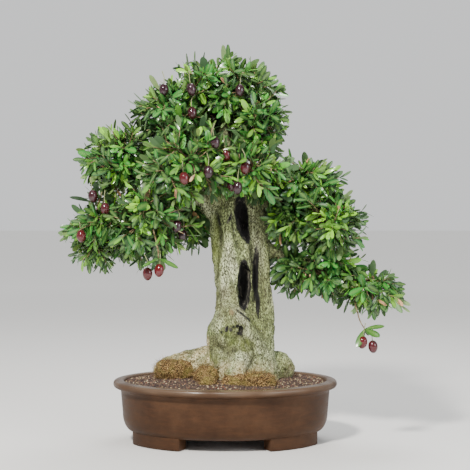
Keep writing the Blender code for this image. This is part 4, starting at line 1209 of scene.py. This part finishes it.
def loose_heaps(name, material):
    """Small heaps of crumbled fibre between the clods."""
    bm = bmesh.new()
    for middle, half in LOOSE_FIBRE:
        place = Matrix.Translation(middle) @ Matrix.Diagonal((*half, 1.0))
        bmesh.ops.create_icosphere(bm, subdivisions=3, radius=1.0, matrix=place)
    for vert in bm.verts:
        vert.co += level_noise(vert.co * 120, 3) * 0.004
    return new_object(name, mesh_from(bm, name), material)


class BONSAI_OT_clods(bpy.types.Operator):
    """Roughens the clods of root fibre and sets fibres all over them"""

    bl_idname = "bonsai.clods"
    bl_label = "Root clods"

    def execute(self, context):
        material, strands, fibre = clod_material(), fibre_material(), fibre_object()
        tree = cover_tree("fibres", ((-1.3, -1.3, 0.0), (1.3, 1.3, math.tau)), lying=True)
        for name in (*CLODS, "loose_fibre"):
            solid = name in CLODS
            clod = rough_clod(name, material) if solid else loose_heaps(name, material)
            per_area = CLOD_FIBRES if solid else LOOSE_FIBRES
            values = {"Piece": fibre, "Per Area": per_area, "Finish": strands}
            fringe = new_object(name + "_strands", run_geometry_tree(tree, clod, values))
            finish_piece(clod, "root_fibre", *([name] if solid else []))
            finish_piece(fringe, "root_fibre")
        bpy.data.objects.remove(fibre)
        return {"FINISHED"}


# Foliage


def leaf_material(grown, young):
    """Olive leaf: dark and glossy above, silver-grey below, yellow-green when young."""
    material, tree, shader = new_material("olive_leaf")
    tint, fresh, under, rib = (attribute(tree, name) for name in ("tint", "fresh", "under", "rib"))
    fleck = noise_of(tree, object_coordinates(tree), 260.0, 2.0, 0.6)
    above = ramp(
        tree, tint, (0.00, srgb(1, 36, 20)), (0.42, grown), (0.70, srgb(18, 120, 44)),
        (0.90, srgb(70, 172, 52)), (1.00, srgb(150, 212, 76)),
    )
    above = mix(tree, fresh, above, young)
    above = mix(tree, ramp(tree, fleck, (0.55, 0.0), (0.75, 0.15)), above, srgb(104, 144, 80))
    above = mix(tree, rib, above, srgb(128, 168, 84))
    shade, silver = srgb(66, 98, 62), srgb(94, 126, 78)
    below = ramp(tree, tint, (0.0, shade), (0.6, silver), (1.0, srgb(134, 158, 98)))
    below = mix(tree, ramp(tree, fresh, (0.0, 0.0), (1.0, 0.6)), below, srgb(160, 190, 84))
    base = mix(tree, under, above, below)
    dead = ramp(tree, attribute(tree, "dead"), (0.5, 0.0), (0.51, 1.0))
    base = mix(tree, dead, base, srgb(206, 160, 120))
    set_inputs(tree, shader, {
        "Base Color": base,
        "Roughness": ramp(tree, under, (0.0, 0.22), (1.0, 0.60)),
        "Normal": bump(tree, fleck, 0.15, 0.0006),
        "Specular IOR Level": 0.55,
    })
    return material


def leaf_object():
    """One blade, a unit long, lying along +Z with its top to +Y, widest past its middle."""
    rows = [(0.00, 0.020), (0.12, 0.058), (0.31, 0.116), (0.55, 0.154), (0.77, 0.142), (0.93, 0.084)]
    verts, faces = [], []
    for z, half in rows:
        bend = -0.20 * z * z
        verts += [(-half, bend - 0.16 * half, z), (0, bend, z), (half, bend - 0.16 * half, z)]
    tip = len(verts)
    verts.append((0, -0.21, 1.0))
    for a in range(0, tip - 3, 3):
        b = a + 3
        faces += [(a, b, b + 1, a + 1), (a + 1, b + 1, b + 2, a + 2), (a, a + 2, b + 2, b)]
    last = tip - 3
    faces += [(last, tip, last + 1), (last + 1, tip, last + 2), (last, last + 2, tip), (0, 1, 2)]
    mesh = bpy.data.meshes.new("leaf_blade")
    mesh.from_pydata(verts, [], faces)
    bm = bmesh.new()
    bm.from_mesh(mesh)
    bmesh.ops.recalc_face_normals(bm, faces=bm.faces)
    bm.to_mesh(mesh)
    bm.free()
    mesh.set_sharp_from_angle(angle=math.radians(50))
    under = [float(face.normal.y < 0) for face in mesh.polygons]
    mesh.attributes.new("under", "FLOAT", "FACE").data.foreach_set("value", under)
    store(mesh, "rib", [0.5 if i % 3 == 1 else 0.0 for i in range(len(verts))])
    return new_object("leaf_blade", mesh)


def leaf_tree():
    """Sets a blade on each point, turned by the point's two ways and sized by its attribute."""
    tree, given, out = new_geometry_tree("leaves", [
        ("Piece", "Object", None), ("Seed", "Int", SEED), ("Roll", "Float", 0.45),
        ("Size Spread", "Float", 0.18), ("Width Spread", "Float", 0.22), ("Finish", "Material", None),
    ])

    def of_point(name, kind):
        return add_node(tree, "GeometryNodeInputNamedAttribute", {"Name": name}, data_type=kind).outputs[0]

    def maths(operation, first, second):
        return add_node(tree, "ShaderNodeMath", {0: first, 1: second}, operation=operation).outputs[0]

    def varied(middle, spread, seed_step):
        seed = maths("ADD", given.outputs["Seed"], seed_step)
        low, high = maths("SUBTRACT", middle, spread), maths("ADD", middle, spread)
        return random_between(tree, low, high, seed)

    ahead, up = of_point("ahead", "FLOAT_VECTOR"), of_point("up", "FLOAT_VECTOR")
    ways = {"Primary Axis": ahead, "Secondary Axis": up}
    axes = {"primary_axis": "Z", "secondary_axis": "Y"}
    facing = add_node(tree, "FunctionNodeAxesToRotation", ways, **axes).outputs[0]
    roll = add_node(tree, "ShaderNodeCombineXYZ", {"Z": varied(0.0, given.outputs["Roll"], 1)}).outputs[0]
    facing = turned_by(tree, facing, roll)
    size = maths("MULTIPLY", of_point("size", "FLOAT"), varied(1.0, given.outputs["Size Spread"], 2))
    wide = given.outputs["Width Spread"]
    parts = {"X": varied(1.0, wide, 3), "Y": varied(1.0, wide, 4), "Z": 1.0}
    shape = add_node(tree, "ShaderNodeCombineXYZ", parts).outputs[0]
    scale = add_node(tree, "ShaderNodeVectorMath", {0: shape, "Scale": size}, operation="SCALE").outputs[0]
    return set_copies(tree, given, out, given.outputs["Geometry"], facing, scale)


def pad_depth(point, name):
    """How far inside a pad a point is: 1 at its middle, 0 on its skin, less outside."""
    middle, half = PADS[name]
    return 1 - Vector(((point[i] - middle[i]) / half[i] for i in range(3))).length


def deepest_other(point, name):
    """How far a point lies inside the pads beside its own."""
    return max(pad_depth(point, other) for other in PADS if other != name)


def keeps_clear(point, olives):
    """Whether a leaf there keeps off the olives and doesn't hide them or the trunk."""
    for centre in olives:
        if (point - centre).length < OLIVE_ROOM:
            return False
        if centre.y < 0.02:
            way = (VIEWPOINT - centre).normalized()
            ahead = (point - centre).dot(way)
            if 0 < ahead < SIGHT_LENGTH and (point - centre - way * ahead).length < SIGHT_RADIUS:
                return False
    (left, right), (front, top) = BARE_TRUNK
    return not (point.y < front and point.z < top and left < point.x < right)


def random_way(draw):
    """A vector with each part anywhere from -1 to 1."""
    return Vector([draw.uniform(-1, 1) for _ in range(3)])


def shoot_path(start, end, rise, draw):
    """A shoot that leaves its branchlet, bends and ends at its tip."""
    middle = (start + end) / 2
    length = (end - start).length
    sway = random_way(draw) * 0.10 * length
    middle += sway + Vector((0, 0, -rise * 0.16 * length))
    return [start, middle, end]


def bezier(points, t):
    """The place at a share of the way along a curve of three points."""
    a, b, c = points
    return a * (1 - t) ** 2 + b * (2 * t * (1 - t)) + c * t**2


def bezier_way(points, t):
    """The way that such a curve runs there."""
    a, b, c = points
    return ((b - a) * (1 - t) + (c - b) * t).normalized()


class FoliageSettings(bpy.types.PropertyGroup):
    density: FloatProperty(name="Shoots per Area", description="Shoots on a square metre", default=1400.0)
    length: FloatProperty(name="Leaf Length", description="Mean length", default=0.029, subtype="DISTANCE")
    pair_gap: FloatProperty(name="Pair Gap", description="Between pairs", default=0.0085, subtype="DISTANCE")
    grown: colour_property("Grown Leaf", "Middle tone of the old leaves from above", srgb(5, 76, 34))
    young: colour_property("Young Leaf", "The newest leaves from above", srgb(150, 216, 54))
    seed: IntProperty(name="Seed", description="Draws another tree of the same form", default=SEED)


def near_trunk(point):
    """True close to the trunk's axis, where no leaf may stand."""
    return (point.xy - TRUNK_AXIS).length < TRUNK_ROOM and point.z < TRUNK_ROOM_TOP


def leaf_pairs(path, way, lift, settings, olives, draw, shade):
    """Crossed pairs of leaves along a shoot, as (place, ahead, up, size, tint, fresh, dead)."""
    length = (path[-1] - path[0]).length
    leaves = []
    youth = max(0.0, draw.gauss(0.10 - 0.4 * shade, 0.28))
    # Shaded pads and sprays get a darker tone: painted shade
    tone = clamp(draw.gauss(0.38 - shade, 0.28))
    pairs = max(2, round(min(length, LEAFY_LENGTH) / settings.pair_gap))
    turn = draw.uniform(0, math.tau)
    for pair in range(pairs + 1):
        t = 1 - pair * settings.pair_gap / length
        if t < 0.12:
            break
        place, ahead = bezier(path, t), bezier_way(path, t)
        if pair and draw.random() < MISSING_PAIRS:
            continue
        side = ahead.orthogonal().normalized()
        side.rotate(Matrix.Rotation(turn + pair * math.pi / 2, 3, ahead))
        opening = math.radians(min(WIDEST_OPENING, OPENING + pair * OPENING_STEP + draw.uniform(-8, 8)))
        # The two newest pairs aren't full grown
        grown = 0.62 + 0.19 * min(pair, 2)
        for hand in (1, -1):
            out = side * hand
            way_out = ahead * math.cos(opening) + out * math.sin(opening)
            # Leaves droop, more so on shoots that hang
            way_out.z -= 0.10 if lift > 0 else 0.35
            way_out.normalize()
            top = ahead * math.sin(opening) - out * math.cos(opening)
            top += Vector((0, 0, 0.55)) + way * 0.35
            size = settings.length * grown * draw.uniform(0.85, 1.25)
            if not (keeps_clear(place + way_out * size * 0.6, olives) and keeps_clear(place, olives)):
                continue
            fresh = clamp(youth * 1.5 - pair * 0.22 + draw.gauss(0, 0.06))
            tint = clamp(tone + draw.gauss(0, 0.12))
            dead = float(draw.random() < DEAD_LEAVES)
            leaves.append((place, way_out, top, size, tint, fresh, dead))
    return leaves


def branchlets_of(name, draw):
    """The knots where a pad's shoots start, and the twigs that carry them."""
    middle, half = (Vector(part) for part in PADS[name])
    last, before = (Vector(point).xyz for point in (LIMBS[name][-1], LIMBS[name][-2]))
    knots, twigs = [], []
    for way in even_ways(BRANCHLETS, draw.uniform(0, math.tau)):
        knot = middle + Vector(way[i] * half[i] * KNOT_REACH for i in range(3))
        base = last.lerp(before, draw.uniform(0.0, 0.7))
        twigs.append(([base, (base + knot) / 2 + Vector((0, 0, 0.006)), knot], *BRANCHLET_RADII))
        knots.append(knot)
    return knots, twigs


def shoot_inset(name, way, layer, settings, draw):
    """How far inside its pad's form a shoot ends."""
    middle, half = (Vector(part) for part in PADS[name])
    trim, crown = PAD_TRIM.get(name, USUAL_TRIM)
    inset = settings.length * (trim + crown * max(0.0, way.z + 0.25))
    # Some outer shoots stand out a little, and where pads meet they fill the gap between them
    if layer == 1.0 and draw.random() < STANDING_OUT:
        inset -= settings.length * 0.30
    if deepest_other(middle + Vector(way[i] * half[i] for i in range(3)), name) > -0.12:
        inset = 0.1 * settings.length
    return inset


def inner_sprays(name, settings, olives):
    """Loose sprays on the inner part of a limb: twig runs and leaf points."""
    draw = random.Random(f"{name} {settings.seed}")
    twigs, leaves = [], []
    for centre, spread, count in INNER_SPRAYS.get(name, ()):
        for _ in range(count):
            way = Vector(draw.gauss(0, 1) for _ in range(3)).normalized()
            tip = Vector(centre) + Vector(way[i] * spread[i] * draw.uniform(0.5, 1.0) for i in range(3))
            limb = [point.xyz for point in smooth_run(LIMBS[name], 0.01)]
            base = min(limb, key=lambda place: (place - tip).length)
            if (tip - base).length < SHORTEST_SPRAY or near_trunk(tip):
                continue
            path = shoot_path(base, tip, SPRAY_RISE, draw)
            twigs.append((path, *SPRAY_RADII))
            leaves += leaf_pairs(path, way, SPRAY_LIFT, settings, olives, draw, SPRAY_SHADE)
    return twigs, leaves


def lay_out_pad(name, settings, olives, draw):
    """A pad's shoots: twig runs, and leaf points as (place, ahead, up, size, tint, fresh, dead)."""
    middle, half = (Vector(part) for part in PADS[name])
    lift, shade = PAD_LIFT.get(name, USUAL_LIFT), PAD_SHADE.get(name, 0.0)
    area = math.tau * 2 * ((half.x * half.y + half.y * half.z + half.z * half.x) / 3)
    knots, twigs = branchlets_of(name, draw)
    leaves = []
    for layer, share in LAYERS:
        count = round(area * settings.density * share)
        for way in even_ways(count, draw.uniform(0, math.tau)):
            way = (way + random_way(draw) * 0.22).normalized()
            reach = layer * draw.uniform(0.84, 1.02)
            lump = 1 + 0.20 * noise.noise((middle + way * 0.08) * 24)
            inset = shoot_inset(name, way, layer, settings, draw)
            tip = middle + Vector(way[i] * (half[i] - inset) * reach * lump for i in range(3))
            if deepest_other(tip, name) > CROWDED:
                continue
            start = min(knots, key=lambda knot: (knot - tip).length).lerp(tip, draw.uniform(0.0, 0.25))
            if (tip - start).length < SHORTEST_SHOOT:
                start = middle.lerp(tip, 0.4)
            tip += Vector((0, 0, lift * 0.006))
            path = shoot_path(start, tip, lift, draw)
            twigs.append((path, *SHOOT_RADII))
            leaves += leaf_pairs(path, way, lift, settings, olives, draw, shade)
    loose_twigs, loose_leaves = inner_sprays(name, settings, olives)
    return twigs + loose_twigs, leaves + loose_leaves


def points_object(name, leaves):
    """The leaf points as a mesh that carries their ways, sizes and tints."""
    mesh = bpy.data.meshes.new(name)
    mesh.from_pydata([leaf[0] + POT_MIDDLE for leaf in leaves], [], [])
    for column, key in ((1, "ahead"), (2, "up")):
        flat = [part for leaf in leaves for part in leaf[column]]
        mesh.attributes.new(key, "FLOAT_VECTOR", "POINT").data.foreach_set("vector", flat)
    for column, key in ((3, "size"), (4, "tint"), (5, "fresh"), (6, "dead")):
        store(mesh, key, [leaf[column] for leaf in leaves])
    return new_object(name, mesh, smooth=False)


def twig_material():
    """Young bark: tan, with grey-green patches."""
    material, tree, shader = new_material("twig_bark")
    grain = noise_of(tree, object_coordinates(tree), 180.0)
    brown, tan, grey = srgb(92, 72, 48), srgb(132, 108, 76), srgb(150, 142, 104)
    base = ramp(tree, grain, (0.35, brown), (0.5, tan), (0.65, grey))
    set_inputs(tree, shader, {"Base Color": base, "Roughness": 0.8})
    return material


def twig_object(name, twigs, material):
    """The twigs of one pad, each a thin tapered tube along its curve."""
    bm = bmesh.new()
    for path, thick, thin in twigs:
        run = []
        for i in range(5):
            t = i / 4
            place = bezier(path, t) + POT_MIDDLE
            run.append(Vector((*place, thick + (thin - thick) * t)))
        tube(bm, run, 5)
    return new_object(name, mesh_from(bm, name), material)


def olive_nodes():
    """The names of the olives' solids, in order."""
    return sorted(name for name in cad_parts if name.startswith("olive_"))


def rosette(run, draw, settings):
    """The leaves at the end of a hanging twig, all round it."""
    leaves = []
    end, ahead = run[-1].xyz, (run[-1].xyz - run[-2].xyz).normalized()
    side = ahead.orthogonal().normalized()
    for k in range(ROSETTE_LEAVES):
        out = Matrix.Rotation(math.tau * k / ROSETTE_LEAVES, 3, ahead) @ side
        opening = math.radians(76 + draw.uniform(-10, 10))
        way = (ahead * math.cos(opening) + out * math.sin(opening) + Vector((0, 0, -0.1))).normalized()
        size = settings.length * draw.uniform(1.0, 1.3)
        leaves.append((end, way, Vector((0, -0.4, 1)), size, 0.4, 0.10, 0.0))
    return leaves


def hanging_twig(name, settings, draw):
    """The twig that hangs out of a pad, in two runs, and its leaves."""
    run = smooth_run([(*point, 0.0012) for point in HANGING[name]], 0.014)
    leaves = rosette(run, draw, settings)
    first, last = run[0].xyz, run[-1].xyz
    inside = Vector(PADS[name][0]).lerp(first, 0.5)
    half_way = (first + last) / 2
    upper = ([inside, first, half_way + Vector((0, 0, -0.002))], 0.0015, 0.0013)
    lower = ([half_way, run[len(run) * 2 // 3].xyz, last], 0.0013, 0.0009)
    return [upper, lower], leaves


class BONSAI_OT_foliage(bpy.types.Operator):
    """Lays out the shoots of every pad and sets leaves along them"""

    bl_idname = "bonsai.foliage"
    bl_label = "Foliage"

    def execute(self, context):
        settings = context.scene.bonsai_foliage
        draw = random.Random(settings.seed)
        olives = [middle_of(name) - POT_MIDDLE for name in olive_nodes()]
        material = leaf_material(tuple(settings.grown), tuple(settings.young))
        blade, tree, bark = leaf_object(), leaf_tree(), twig_material()
        for name in PADS:
            twigs, leaves = lay_out_pad(name, settings, olives, draw)
            if name in HANGING:
                more_twigs, more_leaves = hanging_twig(name, settings, draw)
                twigs += more_twigs
                leaves += more_leaves
            source = points_object("points", leaves)
            values = {"Piece": blade, "Seed": settings.seed, "Finish": material}
            pad = new_object("leaves_" + name, run_geometry_tree(tree, source, values))
            bpy.data.objects.remove(source)
            finish_piece(pad, "leaf", "foliage_" + name)
            finish_piece(twig_object("twigs_" + name, twigs, bark), "bark")
        bpy.data.objects.remove(blade)
        return {"FINISHED"}


# Olives


def olive_material():
    """Ripe olive: dark red to near black, glossy, with a faint bloom."""
    material, tree, shader = new_material("ripe_skin")
    places = object_coordinates(tree)
    ripe = attribute(tree, "ripe")
    bloom = noise_of(tree, places, 120.0, 3.0, 0.6)
    speck = noise_of(tree, places, 1100.0, 1.0)
    base = ramp(
        tree, ripe, (0.0, srgb(88, 1, 9)), (0.4, srgb(66, 2, 12)), (0.8, srgb(48, 4, 14)),
        (1.0, srgb(34, 5, 16)),
    )
    base = mix(tree, ramp(tree, bloom, (0.50, 0.0), (0.75, 0.22)), base, srgb(120, 84, 104))
    base = mix(tree, ramp(tree, speck, (0.66, 0.0), (0.72, 0.35)), base, srgb(170, 110, 110))
    set_inputs(tree, shader, {
        "Base Color": base,
        "Roughness": ramp(tree, bloom, (0.4, 0.14), (0.75, 0.34)),
        "Coat Weight": 0.4,
        "Coat Roughness": 0.08,
    })
    return material


def stalk_material():
    """Grey-green stalks."""
    material, tree, shader = new_material("stalk")
    grain = noise_of(tree, object_coordinates(tree), 300.0)
    base = ramp(tree, grain, (0.3, srgb(120, 128, 84)), (0.7, srgb(150, 152, 108)))
    set_inputs(tree, shader, {"Base Color": base, "Roughness": 0.6})
    return material


def olive_axis(name):
    """The top and the foot of an olive's axis, from its solid's two poles."""
    bm = welded(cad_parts[name].data)
    middle = middle_of(name)
    poles = sorted(bm.verts, key=lambda vert: (vert.co - middle).length)[-2:]
    ends = sorted((vert.co.copy() for vert in poles), key=lambda place: place.z)
    bm.free()
    return ends[1], ends[0]


def fruit_object(name, top, foot, material):
    """A fruit between its two poles, a little fuller towards its stalk and dimpled there."""
    turn = Vector((0, 0, 1)).rotation_difference((top - foot).normalized()).to_matrix()
    length = (top - foot).length
    bm = bmesh.new()
    bmesh.ops.create_uvsphere(bm, u_segments=32, v_segments=20, radius=0.5)
    for vert in bm.verts:
        z = vert.co.z
        width = OLIVE_WIDTH * (1 + 0.12 * z) * (1 + 0.02 * noise.noise(vert.co * 4 + top * 50))
        dimple = 0.0010 * max(0.0, 1 - vert.co.xy.length / 0.12) if z > 0 else 0.0
        place = Vector((vert.co.x * width, vert.co.y * width, z * length - dimple))
        vert.co = turn @ place + (top + foot) / 2
    return new_object(name + "_fruit", mesh_from(bm, name + "_fruit"), material)


def add_stalk(bm, top, axis, draw):
    """A thin stalk that curves up from an olive's top."""
    root = top + axis * 0.012 + Vector((draw.uniform(-0.006, 0.006), 0.006, 0.010))
    bend = top + axis * 0.010 + Vector((0, 0.002, 0.001))
    places = [(top - axis * 0.0008, 0.0009), (top + axis * 0.005, 0.0007), (bend, 0.0007), (root, 0.0008)]
    tube(bm, [Vector((*place, radius)) for place, radius in places], 6)


class BONSAI_OT_olives(bpy.types.Operator):
    """Turns each olive to a smooth fruit on its stalk"""

    bl_idname = "bonsai.olives"
    bl_label = "Olives"

    def execute(self, context):
        material = olive_material()
        draw = random.Random(SEED)
        stalks = bmesh.new()
        for name in olive_nodes():
            top, foot = olive_axis(name)
            olive = fruit_object(name, top, foot, material)
            # The lowest olives are the reddest
            ripe = draw.choice((0.0, 0.25) if top.z < LOW_OLIVES else (0.2, 0.45, 0.6, 0.8, 1.0))
            store(olive.data, "ripe", [ripe] * len(olive.data.vertices))
            finish_piece(olive, "olive_skin", name)
            add_stalk(stalks, top, (top - foot).normalized(), draw)
        piece = new_object("olive_stalks", mesh_from(stalks, "olive_stalks"), stalk_material())
        finish_piece(piece, "leaf")
        return {"FINISHED"}


# Stage


def area_light(name, place, target, size, power, colour=(1.0, 1.0, 1.0)):
    """A round area light that faces a target."""
    light = bpy.data.lights.new(name, "AREA")
    light.shape = "DISK"
    light.size = size
    light.energy = power
    light.color = colour
    piece = bpy.data.objects.new(name, light)
    piece.location = place
    piece.rotation_euler = (Vector(target) - Vector(place)).to_track_quat("-Z", "Y").to_euler()
    bpy.context.scene.collection.objects.link(piece)
    return piece


def floor_object(glow):
    """A wide pale floor; far off it shines a little, as a lit sweep does."""
    material, tree, shader = new_material("floor")
    places = object_coordinates(tree)
    away = add_node(tree, "ShaderNodeVectorMath", {0: places}, operation="LENGTH").outputs["Value"]
    reach = {"Value": away, "From Min": 0.8, "From Max": 4.0, "To Min": 0.0, "To Max": glow}
    set_inputs(tree, shader, {
        "Emission Strength": add_node(tree, "ShaderNodeMapRange", reach).outputs[0],
        "Emission Color": srgb(244, 243, 240),
        "Base Color": srgb(238, 237, 234),
        "Roughness": 0.8,
    })
    bm = bmesh.new()
    bmesh.ops.create_grid(bm, x_segments=1, y_segments=1, size=14.0)
    floor = new_object("floor", mesh_from(bm, "floor"), material, smooth=False)
    floor.location.z = -0.0005
    return floor


def sky_world(light):
    """An even pale sky: it lights by the given strength, and is seen as it is."""
    world = bpy.data.worlds.new("sky")
    world.use_nodes = True
    tree = world.node_tree
    seen = add_node(tree, "ShaderNodeLightPath").outputs["Is Camera Ray"]
    strength = ramp(tree, seen, (0.0, light), (1.0, 1.0))
    set_inputs(tree, tree.nodes["Background"], {"Color": srgb(240, 241, 242), "Strength": strength})
    return world


def camera_object():
    """The camera, at the photo's angle."""
    camera = bpy.data.objects.new("camera", bpy.data.cameras.new("camera"))
    camera.data.lens = LENS
    camera.data.sensor_width = SENSOR
    camera.location = POT_MIDDLE + VIEWPOINT
    camera.rotation_euler = (math.radians(VIEW_PITCH), 0.0, 0.0)
    bpy.context.scene.collection.objects.link(camera)
    return camera


class StageSettings(bpy.types.PropertyGroup):
    key_power: FloatProperty(name="Key Light", description="Of the main light", default=95.0, unit="POWER")
    fill_power: FloatProperty(name="Fill Light", description="Of the fill light", default=20.0, unit="POWER")
    sky: FloatProperty(name="Sky", description="Strength of the even light all round", default=0.62)
    floor_glow: FloatProperty(name="Floor Glow", description="Own light of the far floor", default=0.34)


class BONSAI_OT_stage(bpy.types.Operator):
    """Sets up the plain floor, the soft lights and the camera"""

    bl_idname = "bonsai.stage"
    bl_label = "Stage"

    def execute(self, context):
        settings = context.scene.bonsai_stage
        floor = floor_object(settings.floor_glow)
        context.scene.world = sky_world(settings.sky)
        aim = POT_MIDDLE + Vector((0, 0, 0.36))
        lights = [
            area_light("key", (-0.7, -1.75, 1.9), aim, 0.32, settings.key_power, (1.0, 0.97, 0.92)),
            area_light("fill", (1.7, -1.2, 0.9), aim, 1.2, settings.fill_power, (0.93, 0.96, 1.0)),
            area_light("top", (0.2, 0.9, 2.0), aim, 1.0, settings.fill_power * 1.2),
        ]
        context.scene.camera = camera_object()
        return {"FINISHED"}


# Panel and start


class BONSAI_PT_panel(bpy.types.Panel):
    """The tree's settings and its steps"""

    bl_idname = "BONSAI_PT_panel"
    bl_label = "Olive Bonsai"
    bl_space_type = "VIEW_3D"
    bl_region_type = "UI"
    bl_category = "Bonsai"

    def draw(self, context):
        for key, step in STEPS:
            box = self.layout.box()
            if key in SETTINGS:
                for setting in SETTINGS[key].__annotations__:
                    box.prop(getattr(context.scene, "bonsai_" + key), setting)
            box.operator(step.bl_idname)


STEPS = (
    ("pot", BONSAI_OT_pot), ("screens", BONSAI_OT_screens), ("soil", BONSAI_OT_soil),
    ("wood", BONSAI_OT_wood), ("clods", BONSAI_OT_clods), ("foliage", BONSAI_OT_foliage),
    ("olives", BONSAI_OT_olives), ("stage", BONSAI_OT_stage),
)
SETTINGS = {
    "pot": PotSettings, "soil": SoilSettings, "wood": WoodSettings, "foliage": FoliageSettings,
    "stage": StageSettings,
}


def register():
    """Registers the settings, the steps and the panel."""
    for key, settings in SETTINGS.items():
        bpy.utils.register_class(settings)
        setattr(bpy.types.Scene, "bonsai_" + key, PointerProperty(type=settings))
    for _, step in STEPS:
        bpy.utils.register_class(step)
    bpy.utils.register_class(BONSAI_PT_panel)


def unregister():
    """Undoes what register does."""
    bpy.utils.unregister_class(BONSAI_PT_panel)
    for _, step in reversed(STEPS):
        bpy.utils.unregister_class(step)
    for key, settings in SETTINGS.items():
        delattr(bpy.types.Scene, "bonsai_" + key)
        bpy.utils.unregister_class(settings)


def main():
    """Makes every piece in turn."""
    register()
    for key, _ in STEPS:
        getattr(bpy.ops.bonsai, key)()


if __name__ == "__main__":
    main()
